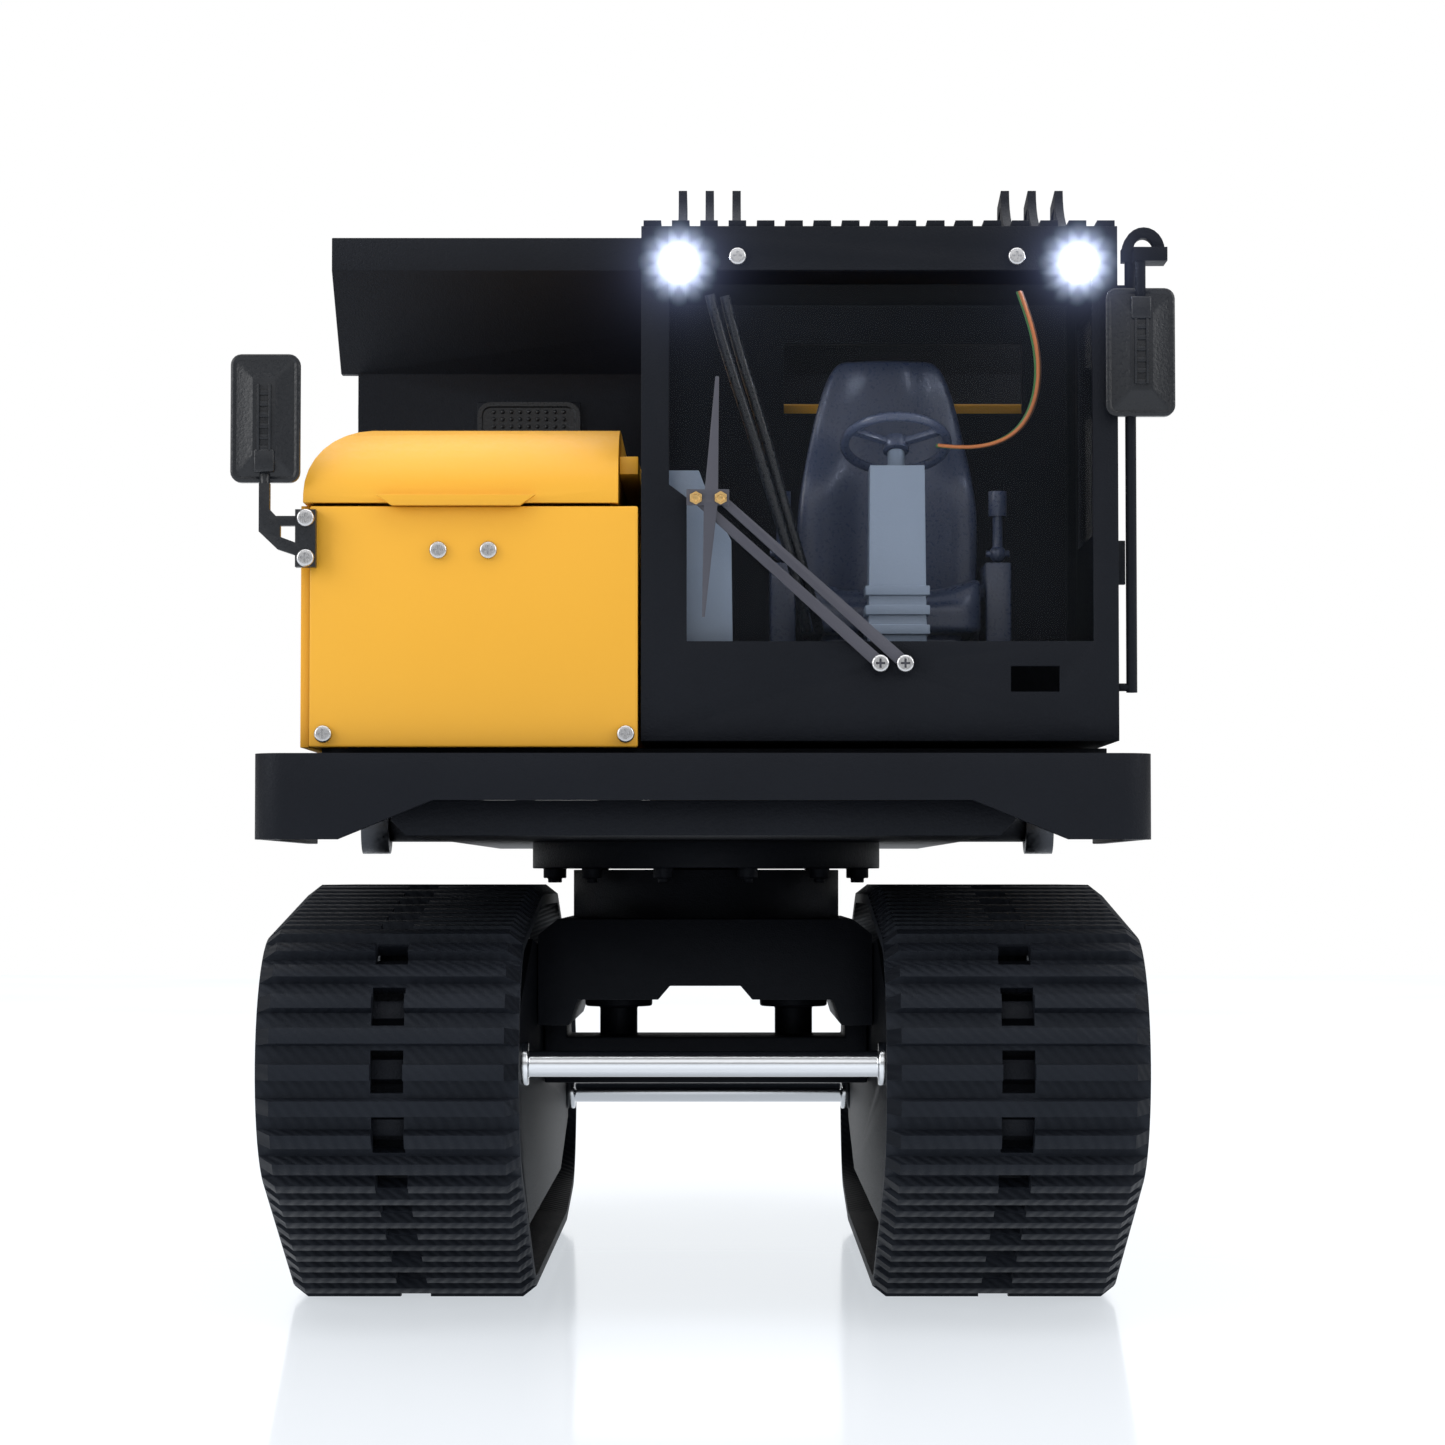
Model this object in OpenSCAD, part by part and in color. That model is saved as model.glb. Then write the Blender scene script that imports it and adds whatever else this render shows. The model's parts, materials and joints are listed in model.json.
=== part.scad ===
/* [Overall] */
// Length from the bumper to the tail of the dump bed
overall_length = 430; // [360:1:516]
// Width over the front bumper
body_width = 202; // [170:1:242]
// Height of the cab box
cab_height = 116.7; // [112:0.1:140]
// Length of the cab, front to back
cab_length = 106; // [90:1:112]

/* [Tracks] */
// Distance between the centre lines of the two tracks
track_spread = 141.4; // [138:0.1:170]
// Width of a track belt
belt_width = 59; // [56:0.5:62]
// Distance from sprocket axle to idler axle
wheel_base = 276; // [262:1:320]
// Radius of the sprocket and idler discs
sprocket_radius = 26.5; // [25.5:0.1:27]
// Radius of a road wheel
road_wheel_radius = 17; // [14.2:0.1:20]
// Radius of a top roller
top_roller_radius = 6; // [5:0.1:7.2]
// Thickness of the belt band
belt_core = 2.5; // [2:0.1:3]
// Height of a tread bar above the band
bar_height = 2.5; // [2:0.1:3]
// Radius of the cross axles
axle_radius = 3; // [2.5:0.1:3.6]

/* [Upper structure] */
// Sheet thickness of the cab and hood
sheet = 2; // [1.7:0.1:2.4]
// Width of the engine hood panel
hood_width = 74; // [62:0.5:76]
// Height of the hood front panel
hood_panel_height = 54.4; // [45:0.1:60]
// Number of slats in the cab roof guard
slat_count = 17; // [14:1:20]
// Radius of the slewing drum
slew_radius = 35.5; // [33:0.1:42]
// Wall of the dump bed
bed_wall = 3; // [2.5:0.1:3.6]
// Height of the sides of the dump bed
bed_depth = 78; // [65:1:94]

/* [Clearances] */
// Gap between a turning wheel and the belt
belt_gap = 0.5; // [0.4:0.05:0.8]
// Radial clearance of a pin in its bore
fit = 0.05; // [0.02:0.01:0.1]
// Gap between parts that move past each other
gap = 0.4; // [0.3:0.05:0.6]

/* [Hidden] */
$fn = 48;

yellow = "#eab13c";
black = "#1c2026";
slate = "#56617a";

// Frame: X across, Y front to back, Z up, the middle of the footprint at the origin
front_y = -overall_length / 2;
rear_y = overall_length / 2;
half_w = body_width / 2;
track_x = track_spread / 2;
half_belt = belt_width / 2;
thick = belt_core + bar_height;

// Track layout, each as [y, z, radius of the inner belt path]
wheel_path = road_wheel_radius + belt_gap;
loop_path = sprocket_radius + belt_gap;
roller_path = top_roller_radius + belt_gap;
sprocket_y = front_y + 32;
idler_y = sprocket_y + wheel_base;
idler_z = thick + loop_path + 5.5;
wheel_z = thick + wheel_path;
wheel_last_y = idler_y - sqrt(pow(sprocket_radius + road_wheel_radius + 1.5, 2) - pow(idler_z - wheel_z, 2));
wheel_first_y = sprocket_y + 56;
wheel_pitch = (wheel_last_y - wheel_first_y) / 3;
roller_z = idler_z + 51.8;
roller_y = [sprocket_y + 80, sprocket_y + 168];
sprocket_z = idler_z + 22;
loop = [
    [wheel_first_y, wheel_z, wheel_path], [wheel_last_y, wheel_z, wheel_path],
    [idler_y, idler_z, loop_path], [roller_y[1], roller_z, roller_path],
    [roller_y[0], roller_z, roller_path], [sprocket_y, sprocket_z, loop_path]];
belt_x0 = track_x - half_belt;
belt_x1 = track_x + half_belt;
disc_in = [track_x - 21.5, track_x - 12.5];
disc_out = [track_x + 12.5, track_x + 21.5];
frame_x = [track_x - 9.7, track_x + 9.7];
plate_x = [belt_x0 + 1.8, belt_x0 + 4.8];
bar_width = 3.6;
window_length = 9.6;
window_width = 7.4;

// Slewing joint
slew_y = sprocket_y + 138;
body_top = idler_z + 54.5;
drum_top = body_top + 12.7;
flange_bottom = drum_top + gap;
deck_bottom = flange_bottom + 7;
deck_top = deck_bottom + 8;
hub_radius = 9;
tooth_module = 0.8;
ring_teeth = 70;
pinion_teeth = 14;
pinion_y = slew_y + tooth_module * (ring_teeth - pinion_teeth) / 2;
pinion_shaft = 2.5;
backlash = 0.12;

// Hood and cab
floor_z = deck_top + 13.2;
bumper_depth = 12;
cab_x0 = -14;
cab_x1 = half_w - 7.2;
cab_w = cab_x1 - cab_x0;
cab_y0 = front_y + 5.5;
cab_y1 = cab_y0 + cab_length;
cab_top = floor_z + cab_height;
face_y = cab_y0 + sheet;
window_x0 = cab_x0 + 6.3;
window_x1 = cab_x1 - 5.7;
window_z0 = floor_z + 22.5;
window_z1 = cab_top - 10;
seat_x = (cab_x0 + cab_x1) / 2 + 4.7;
seat_y = cab_y0 + 70;
hood_x0 = cab_x0 - 0.7 - hood_width;
hood_top = floor_z + hood_panel_height + 19.4;
panel_z0 = floor_z - 1.4;
panel_z1 = panel_z0 + hood_panel_height;
lid_x1 = cab_x0 - 5.2;
lid_hinge = [cab_y1 - 8, hood_top + 1];
door_y0 = cab_y0 + 5.5;
door_y1 = cab_y1 - 24;
door_hinge = [cab_x1 + 2.2, door_y1 + 2.4];
rail_x = cab_x1 + 3.1;
rail_y = cab_y0 + 2.5;
mirror_x = cab_x1 + 4.9;
mirror_y = front_y + 3.2;
mirror_right_z = floor_z + 87.7;
mirror_left_z = floor_z + 72.7;

// Wiper
wiper_pivot = [[seat_x - 4.8, floor_z + 17.4], [seat_x + 0.8, floor_z + 17.4]];
wiper_reach = [-41.5, 37.3];
wiper_joint = [for (p = wiper_pivot) p + wiper_reach];
wiper_y = cab_y0 - 1.6;

// Dump bed and its lift, tilting about the pin at the rear
bed_front = cab_y1 + 33;
bed_floor = floor_z + 16.7;
bed_pivot = [rear_y - 65, floor_z + 6.7];
lift_foot = bed_pivot + [-107.6, -22.9];
lift_head = bed_pivot + [-80.4, 75];
lift_dir = (lift_head - lift_foot) / norm(lift_head - lift_foot);
lift_length = norm(lift_head - lift_foot);
lift_x = [half_w - 8.5, half_w - 0.5];
bed_half = half_w - 9.5;
bed_rim = bed_floor + bed_depth;
lip_top = cab_top + 16.9;
lift_slot = 2.65;

// Lead of the cab lamps, one point per bend
lead_radius = 0.9;
lead_points = [
    [72, -204, 236], [74, -203, 231], [76, -202, 225], [77, -200, 218],
    [76, -198, 211], [73, -196, 205], [68, -195, 202], [61, -194, 201], [54, -193, 202]];

module box(x, y, z) translate([x[0], y[0], z[0]]) cube([x[1] - x[0], y[1] - y[0], z[1] - z[0]]);
module rod_x(x, y, z, r) translate([x[0], y, z]) rotate([0, 90, 0]) cylinder(r = r, h = x[1] - x[0]);
module rod_y(x, y, z, r) translate([x, y[1], z]) rotate([90, 0, 0]) cylinder(r = r, h = y[1] - y[0]);
module rod_z(x, y, z, r) translate([x, y, z[0]]) cylinder(r = r, h = z[1] - z[0]);
// Outlines drawn in (y, z), (x, z) and (x, y)
module side_plate(x, points)
    translate([x[0], 0, 0]) rotate([90, 0, 90]) linear_extrude(x[1] - x[0]) polygon(points);
module front_plate(y, points)
    translate([0, y[1], 0]) rotate([90, 0, 0]) linear_extrude(y[1] - y[0]) polygon(points);
module flat_plate(z, points) translate([0, 0, z[0]]) linear_extrude(z[1] - z[0]) polygon(points);
module both_sides() {
    children();
    mirror([1, 0, 0]) children();
}
module on_side(side) {
    if (side < 0) mirror([1, 0, 0]) children();
    else children();
}

// Belt loop: the tangents and arcs round the wheels, walked by distance
count = len(loop);
function tangent(i) = let (a = loop[i], b = loop[(i + 1) % count],
    d = norm([b[0] - a[0], b[1] - a[1]])) atan2(b[1] - a[1], b[0] - a[0]) - acos((a[2] - b[2]) / d);
function span(i) = let (a = loop[i], b = loop[(i + 1) % count])
    sqrt(pow(b[0] - a[0], 2) + pow(b[1] - a[1], 2) - pow(a[2] - b[2], 2));
function turn(i) = (tangent(i) - tangent((i + count - 1) % count) + 720) % 360;
function piece(i, out) = turn(i) * PI / 180 * (loop[i][2] + out) + span(i);
function total(out, i = 0) = i == count ? 0 : piece(i, out) + total(out, i + 1);
// Point and outward angle at a distance s along the loop offset by out
function place(s, out, i = 0) = s > piece(i, out) && i < count - 1 ? place(s - piece(i, out), out, i + 1)
    : let (r = loop[i][2] + out, arc = turn(i) * PI / 180 * r,
        a = tangent((i + count - 1) % count) + min(s, arc) / r * 180 / PI, run = max(0, s - arc))
    [loop[i][0] + r * cos(a) - run * sin(a), loop[i][1] + r * sin(a) + run * cos(a), a];
function lift(p, h) = [p[0] + h * cos(p[2]), p[1] + h * sin(p[2])];
function shift(p, t) = [p[0] - t * sin(p[2]), p[1] + t * cos(p[2]), p[2]];
belt_length = total(belt_core);
pitch_count = round(belt_length / 15.2);
pitch = belt_length / pitch_count;
outer_outline = [for (i = [0:2 * pitch_count - 1]) let (p = place(i * pitch / 2, belt_core),
        q = place((i + 0.5) * pitch / 2, belt_core))
    each [lift(shift(p, -bar_width / 2), 0), lift(shift(p, -bar_width / 2), bar_height),
        lift(shift(p, bar_width / 2), bar_height), lift(shift(p, bar_width / 2), 0), lift(q, 0)]];
inner_outline = [for (i = [0:4 * pitch_count - 1]) lift(place(i * total(0) / pitch_count / 4, 0), 0)];

// Involute outline of a gear with the middle of a tooth straight up
function polar(r, a) = [r * cos(a), r * sin(a)];
function flank(r, base) = let (b = acos(min(1, base / r))) tan(b) * 180 / PI - b;
function gear(teeth, top, root, thin) = let (pitch_r = tooth_module * teeth / 2, base = pitch_r * cos(20),
        half = 90 / teeth + flank(pitch_r, base) - thin / pitch_r * 180 / PI,
        start = max(root, base), radii = [for (k = [0:3]) start + (top - start) * k / 3])
    [for (i = [0:teeth - 1]) let (c = 90 + i * 360 / teeth)
        each concat([polar(root, c - half)], [for (r = radii) polar(r, c - half + flank(r, base))],
            [for (k = [3:-1:0]) polar(radii[k], c + half - flank(radii[k], base))],
            [polar(root, c + half)])];

// Round tube along a list of points
function unit(v) = v / norm(v);
function along(p, i) = unit(p[min(i + 1, len(p) - 1)] - p[max(i - 1, 0)]);
module tube(points, r, sides = 8) {
    last = len(points) - 1;
    rings = [for (i = [0:last]) let (t = along(points, i), u = unit(cross(t, [0, 1, 0])), v = cross(t, u))
        each [for (k = [0:sides - 1]) points[i] + r * (cos(k * 360 / sides) * u + sin(k * 360 / sides) * v)]];
    faces = concat([[for (k = [sides - 1:-1:0]) k]], [[for (k = [0:sides - 1]) last * sides + k]],
        [for (i = [0:last - 1], k = [0:sides - 1]) let (n = (k + 1) % sides)
            [i * sides + k, i * sides + n, (i + 1) * sides + n, (i + 1) * sides + k]]);
    polyhedron(rings, faces, convexity = 4);
}

// ---- Undercarriage ----
module car_body() color(black) {
    leg = belt_x0 + 1.5;
    difference() {
        union() {
            front_plate([slew_y - 50, slew_y + 50], [[-leg, body_top - 4], [-leg, body_top - 27], [-leg + 8, body_top - 27],
                [-leg + 10, body_top - 20.5], [-12, body_top - 20.5], [-9, body_top - 17], [9, body_top - 17],
                [12, body_top - 20.5], [leg - 10, body_top - 20.5], [leg - 8, body_top - 27], [leg, body_top - 27],
                [leg, body_top - 4], [leg - 5, body_top], [-leg + 5, body_top]]);
            rod_z(0, slew_y, [body_top - 1, drum_top], slew_radius);
        }
        // the drum is an internal gear, open at the top
        translate([0, slew_y, body_top + 1]) linear_extrude(20)
            polygon(gear(ring_teeth, tooth_module * (ring_teeth / 2 + 1), tooth_module * (ring_teeth / 2 - 1), -backlash));
    }
    rod_z(0, slew_y, [body_top, deck_top - 1], hub_radius);
}

module cross_beam() color(black) {
    leg = belt_x0 + 1.5;
    box([-leg, leg], [slew_y - 15, slew_y + 15], [body_top - 43.5, body_top - 31.4]);
    both_sides() {
        box([leg - 6, leg], [slew_y - 15, slew_y + 15], [body_top - 32, body_top - 27]);
        rod_z(23.4, slew_y, [body_top - 32, body_top - 23], 5);
        rod_z(23.4, slew_y, [body_top - 23.7, body_top - 20.5], 9);
    }
}

module cross_axles() color("silver") {
    rod_x([-disc_out[1] - 2, disc_out[1] + 2], sprocket_y, sprocket_z, axle_radius);
    rod_x([-disc_out[1] - 2, disc_out[1] + 2], idler_y, idler_z, axle_radius);
    both_sides() for (p = [[sprocket_y, sprocket_z], [idler_y, idler_z]]) {
        rod_x([plate_x[0] - 2.6, plate_x[0]], p[0], p[1], axle_radius + 2);
        rod_x([disc_out[1] + 0.6, disc_out[1] + 2.6], p[0], p[1], axle_radius + 2);
    }
}

module track_frame(side) color(black) on_side(side) {
    low = wheel_z - 8;
    box_top = roller_z - 4;
    difference() {
        union() {
            side_plate(plate_x, [[sprocket_y - 8, sprocket_z - 8], [wheel_first_y, low + 3], [wheel_last_y, low + 3],
                [idler_y + 8, idler_z - 8], [idler_y + 8, idler_z + 8], [wheel_last_y - 8, box_top - 8],
                [wheel_first_y + 12, box_top + 2], [sprocket_y - 8, sprocket_z + 8]]);
            box(frame_x, [wheel_first_y - 8, wheel_last_y + 8], [low, box_top - 12]);
            for (y = [wheel_first_y + wheel_pitch / 2 : wheel_pitch : wheel_last_y])
                box([plate_x[1] - 1, frame_x[0] + 1], [y - 5, y + 5], [wheel_z + 20, box_top - 14]);
            for (y = roller_y) box([frame_x[0] + 6, frame_x[1] - 6], [y - 4, y + 4], [box_top - 13, roller_z + 4]);
        }
        // bores for the axles of the road wheels and the top rollers
        for (i = [0:3])
            rod_x(frame_x + [-1, 1], wheel_first_y + i * wheel_pitch, wheel_z, axle_radius + fit);
        for (y = roller_y) rod_x(frame_x + [-1, 1], y, roller_z, 2 + fit);
        rod_x([plate_x[0] - 1, plate_x[1] + 1], sprocket_y, sprocket_z, axle_radius);
        rod_x([plate_x[0] - 1, plate_x[1] + 1], idler_y, idler_z, axle_radius);
    }
}

module track(side) color("#23272c") on_side(side) difference() {
    side_plate([belt_x0, belt_x1], outer_outline);
    side_plate([belt_x0 - 1, belt_x1 + 1], inner_outline);
    for (i = [0:pitch_count - 1]) let (p = place((i + 0.5) * pitch, belt_core))
        translate([track_x, p[0], p[1]]) rotate([p[2], 0, 0])
            cube([window_width, 2 * thick + 2, window_length], center = true);
}

module travel_motors() color("#30353c") both_sides() difference() {
    rod_x([plate_x[1], plate_x[1] + 14], sprocket_y, sprocket_z, sprocket_radius - 9);
    rod_x([plate_x[1] - 1, plate_x[1] + 15], sprocket_y, sprocket_z, axle_radius);
}

module sprocket(side) color("#3a4048") on_side(side) translate([0, sprocket_y, sprocket_z]) difference() {
    union() {
        rod_x([disc_in[0] + 0.4, disc_out[1]], 0, 0, sprocket_radius - 5);
        rod_x(disc_in + [0.4, -5], 0, 0, sprocket_radius);
        rod_x(disc_out + [5, 0], 0, 0, sprocket_radius);
        for (a = [0:30:330]) rotate([a, 0, 0]) side_plate([track_x - 4, track_x + 4],
            [[-4, sprocket_radius - 7], [4, sprocket_radius - 7], [2.2, sprocket_radius], [-2.2, sprocket_radius]]);
    }
    rod_x([disc_in[0] - 1, track_x - 5], 0, 0, sprocket_radius - 8);
    rod_x([track_x - 6, disc_out[1] + 1], 0, 0, axle_radius + fit);
    for (a = [0:60:300]) rotate([a, 0, 0]) rod_x([track_x + 6, disc_out[1] + 1], 0, sprocket_radius - 12, 3.4);
}

module idler(side) color("#3a4048") on_side(side) translate([0, idler_y, idler_z]) difference() {
    union() {
        rod_x(disc_in, 0, 0, sprocket_radius);
        rod_x(disc_out, 0, 0, sprocket_radius);
        rod_x([disc_in[0], disc_out[1]], 0, 0, 9);
    }
    rod_x([disc_in[0] - 1, disc_out[1] + 1], 0, 0, axle_radius + fit);
    for (a = [0:72:288]) rotate([a, 0, 0]) rod_x([disc_in[0] - 1, disc_out[1] + 1], 0, sprocket_radius - 9, 4);
}

// A road wheel is two flanged discs either side of the frame, on an axle that turns in it
module road_wheel(side, i) color("silver") on_side(side)
    translate([0, wheel_first_y + (i - 1) * wheel_pitch, wheel_z]) {
        rod_x([disc_in[0], disc_out[1]], 0, 0, axle_radius);
        for (d = [disc_in, disc_out]) {
            rod_x(d, 0, 0, road_wheel_radius - 3);
            rod_x([d[0], d[0] + 3], 0, 0, road_wheel_radius);
            rod_x([d[1] - 3, d[1]], 0, 0, road_wheel_radius);
        }
    }

module top_roller(side, i) color("silver") on_side(side) translate([0, roller_y[i - 1], roller_z]) {
    rod_x([disc_in[0], disc_out[1]], 0, 0, 2);
    for (d = [disc_in, disc_out]) rod_x(d, 0, 0, top_roller_radius);
}

// ---- Slewing platform ----
module deck_frame() color(black) difference() {
    union() {
        front_plate([front_y + 14, rear_y - 52], [[-71, deck_top], [-71, deck_bottom + 3.5], [-67.5, deck_bottom],
            [67.5, deck_bottom], [71, deck_bottom + 3.5], [71, deck_top]]);
        box([hood_x0 + 2, cab_x1 - 2], [front_y + 14, cab_y1 + 2], [deck_top + 7, panel_z0]);
        for (x = [-60, -20, 20, 60]) box([x - 4, x + 4], [front_y + 16, cab_y1], [deck_top - 1, deck_top + 8]);
        both_sides() {
            box([56, 62], [bed_pivot[0] - 5, bed_pivot[0] + 5], [deck_top - 1, bed_pivot[1] + 3]);
            box([lift_x[0] - 38, lift_x[0] - 32], [lift_foot[0] - 10, lift_foot[0] + 10], [lift_foot[1] - 5, deck_top]);
        }
        rod_x([-lift_x[1], lift_x[1]], lift_foot[0], lift_foot[1], 4);
        rod_x([-56.5, 56.5], bed_pivot[0], bed_pivot[1], 2.5);
        both_sides() rod_x([56, 68], bed_pivot[0], bed_pivot[1], 2.5);
    }
    rod_z(0, slew_y, [deck_bottom - 1, deck_top - 0.6], hub_radius + 0.6);
    rod_z(0, pinion_y, [deck_bottom - 1, deck_top + 1], pinion_shaft + 0.6);
}

module front_bumper() color(black) {
    depth = bumper_depth;
    wing_z = deck_bottom - 1;
    difference() {
        front_plate([front_y, front_y + depth], [[-half_w, deck_top + 10.3], [-half_w, wing_z], [-half_w + 19, wing_z],
            [-60.5, deck_top - 0.2], [60.5, deck_top - 0.2], [half_w - 19, wing_z], [half_w, wing_z],
            [half_w, deck_top + 10.3]]);
        box([-half_w + 6, half_w - 6], [front_y + 4, front_y + depth + 1], [wing_z - 1, deck_top + 8]);
    }
    for (x = [-60, -20, 20, 60]) box([x - 3, x + 3], [front_y + 3, front_y + 14], [deck_top, deck_top + 7.6]);
}

module side_skirts() color(black) both_sides() {
    box([half_w - 3, half_w], [front_y + bumper_depth, cab_y1], [deck_bottom - 1, deck_top + 10.3]);
    for (y = [front_y + 40, cab_y1 - 20]) box([71, half_w - 2], [y, y + 8], [deck_top - 2, deck_top + 3]);
}

module slew_flange() color(black) {
    difference() {
        rod_z(0, slew_y, [flange_bottom, deck_bottom], slew_radius + 11);
        rod_z(0, slew_y, [flange_bottom - 1, deck_bottom + 1], hub_radius + fit);
        rod_z(0, pinion_y, [flange_bottom - 1, deck_bottom + 1], pinion_shaft + fit);
    }
    for (a = [15:30:345]) rotate_about(a) {
        rod_z(slew_radius + 6.5, 0, [flange_bottom - 2.6, flange_bottom], 2.6);
        rod_z(slew_radius + 6.5, 0, [flange_bottom - 3.8, flange_bottom - 2.5], 1.4);
    }
}
module rotate_about(a) translate([0, slew_y, 0]) rotate([0, 0, a]) children();

module slew_motor() color("#3c424a") {
    difference() {
        union() {
            rod_z(0, pinion_y, [deck_top, deck_top + 4], 13);
            rod_z(0, pinion_y, [deck_top + 4, bed_floor - bed_wall - 4], 10);
        }
        rod_z(0, pinion_y, [deck_top - 1, deck_top + 5], pinion_shaft + fit);
    }
}

module slew_pinion() color("silver") {
    translate([0, pinion_y, body_top + 1.6]) linear_extrude(10)
        polygon(gear(pinion_teeth, tooth_module * (pinion_teeth / 2 + 0.9), tooth_module * (pinion_teeth / 2 - 1.2),
            backlash));
    rod_z(0, pinion_y, [body_top + 11, deck_top + 4.5], pinion_shaft);
}

// ---- Engine hood ----
module hood_shell() color(yellow) {
    x0 = hood_x0 - 2.4;
    // side skin with a rounded shoulder
    difference() {
        front_plate([front_y + 9, cab_y1 - 2], concat([[x0, panel_z0], [x0 + 2, panel_z0], [x0 + 2, panel_z1]],
            [for (a = [180:-10:90]) [x0 + 18 + 16 * cos(a), panel_z1 + 2 + 16 * sin(a)]],
            [for (a = [90:10:180]) [x0 + 18 + 18 * cos(a), panel_z1 + 2 + 18 * sin(a)]]));
        box([x0 - 1, x0 + 40], [front_y - 1, lid_hinge[0] - 3], [panel_z1 + 0.4, hood_top + 4]);
    }
    box([x0 + 1.5, cab_x0 - 0.8], [cab_y1 - 4, cab_y1 - 2], [panel_z0, panel_z1 + 2]);
    box([x0 + 17, cab_x0 - 0.8], [lid_hinge[0] - 2.6, cab_y1 - 2], [panel_z1 + 14, panel_z1 + 18.9]);
    box([cab_x0 - 5, cab_x0 - 0.8], [front_y + 12, cab_y1 - 2], [panel_z1 + 8, panel_z1 + 12]);
    box([cab_x0 - 5, cab_x0 - 0.8], [cab_y1 - 4, cab_y1 - 2], [panel_z1, panel_z1 + 15]);
    // hinge knuckles of the lid
    for (x = [x0 + 30, lid_x1 - 16]) difference() {
        union() {
            rod_x([x, x + 6], lid_hinge[0], lid_hinge[1], 2.4);
            box([x, x + 6], [lid_hinge[0], lid_hinge[0] + 6], [lid_hinge[1] - 3, lid_hinge[1] - 0.5]);
        }
        rod_x([x - 1, x + 7], lid_hinge[0], lid_hinge[1], 1 + fit);
    }
}

module hood_front_panel() color(yellow)
    front_plate([front_y + 5, front_y + 8.6], [[hood_x0, panel_z0], [hood_x0 + hood_width, panel_z0],
        [hood_x0 + hood_width, panel_z1], [hood_x0, panel_z1]]);

lid_x0 = hood_x0 - 1.6;
lid_base = panel_z1 + 0.8;
lid_rise = hood_top - 1 - lid_base;
// Outer form of the lid drawn in by a wall: rounded at the nose and at the outer shoulder
module lid_form(wall) {
    top = lid_rise - wall;
    top_y = front_y + 30;
    back_y = lid_hinge[0] - 4 - wall;
    foot = lid_base - (wall > 0 ? 1 : 0);
    intersection() {
        side_plate([lid_x0 - 1, lid_x1 - wall], concat([[back_y, foot], [top_y - 25 + wall, foot]],
            [for (a = [0:10:90]) [top_y - (25 - wall) * cos(a), lid_base + top * sin(a)]],
            [[back_y, lid_base + top]]));
        front_plate([front_y, back_y + 1], concat([[lid_x1, foot], [lid_x1, lid_base + top]],
            [for (a = [90:10:180]) [lid_x0 + 17 + (17 - wall) * cos(a), lid_base + 2 + (top - 2) * sin(a)]],
            [[lid_x0 + wall, foot]]));
    }
}

module hood_lid() color(yellow) {
    difference() {
        lid_form(0);
        lid_form(sheet);
    }
    // lip to lift it by
    box([hood_x0 + 18, hood_x0 + 48], [front_y + 3, front_y + 7], [lid_base, lid_base + 1.6]);
    front_plate([front_y + 2.4, front_y + 4.4], [[hood_x0 + 15, lid_base + 1.6], [hood_x0 + 18.5, lid_base - 0.8],
        [hood_x0 + 47.5, lid_base - 0.8], [hood_x0 + 51, lid_base + 1.6]]);
    // hinge leaves and pins
    for (x = [hood_x0 + 27.6, lid_x1 - 16]) {
        rod_x([x - 4, x + 10], lid_hinge[0], lid_hinge[1], 1);
        for (k = [x - 4, x + 6.4]) {
            rod_x([k, k + 3.6], lid_hinge[0], lid_hinge[1], 2.2);
            box([k, k + 3.6], [lid_hinge[0] - 6, lid_hinge[0]], [hood_top - 1.4, hood_top]);
        }
    }
}

module rear_bulkhead() color(yellow)
    box([cab_x0, cab_x1 + 1.7], [cab_y1 + 2.4, cab_y1 + 5.4], [deck_top, floor_z + 90]);

// ---- Cab ----
module cab_shell() color(black) {
    inner = [cab_x0 + sheet, cab_x1 - sheet];
    difference() {
        box([cab_x0, cab_x1], [face_y, cab_y1], [floor_z, cab_top]);
        box(inner, [face_y - 1, cab_y1 - sheet], [floor_z + sheet, cab_top - sheet]);
        // rear window, left window and door opening
        box([cab_x0 + 34, cab_x1 - 13.4], [cab_y1 - 3, cab_y1 + 1], [floor_z + 87, cab_top - 12]);
        box([cab_x0 - 1, cab_x0 + 3], [face_y + 20, cab_y1 - 20], [floor_z + 62, cab_top - 12]);
        box([cab_x1 - 3, cab_x1 + 1], [door_y0 - gap, door_y1 + gap], [floor_z + 3, cab_top - 6]);
    }
    // door hinge knuckles
    for (z = [floor_z + 20, cab_top - 30]) difference() {
        union() {
            rod_z(door_hinge[0], door_hinge[1], [z, z + 5], 2);
            box([cab_x1 - 1, door_hinge[0]], [door_hinge[1], door_hinge[1] + 4], [z, z + 5]);
        }
        rod_z(door_hinge[0], door_hinge[1], [z - 1, z + 6], 0.8 + fit);
    }
}

module cab_front_plate() color(black) difference() {
    front_plate([cab_y0, face_y], [[cab_x0, floor_z], [cab_x1, floor_z], [cab_x1, cab_top], [cab_x0, cab_top]]);
    front_plate([cab_y0 - 1, face_y + 1], [[window_x0 + 4, window_z0], [window_x1, window_z0], [window_x1, window_z1],
        [window_x0, window_z1], [window_x0, floor_z + 58], [window_x0 + 4, floor_z + 55]]);
    box([cab_x1 - 24.4, cab_x1 - 13.4], [cab_y0 - 1, face_y + 1], [floor_z + 11.1, floor_z + 16.9]);
    for (x = [cab_x0 + 8.5, cab_x1 - 8.6]) rod_y(x, [cab_y0 - 1, face_y + 1], cab_top - 8, 2.6);
    for (p = wiper_pivot) rod_y(p[0], [cab_y0 - 1, face_y + 1], p[1], 1.2 + fit);
}

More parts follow.
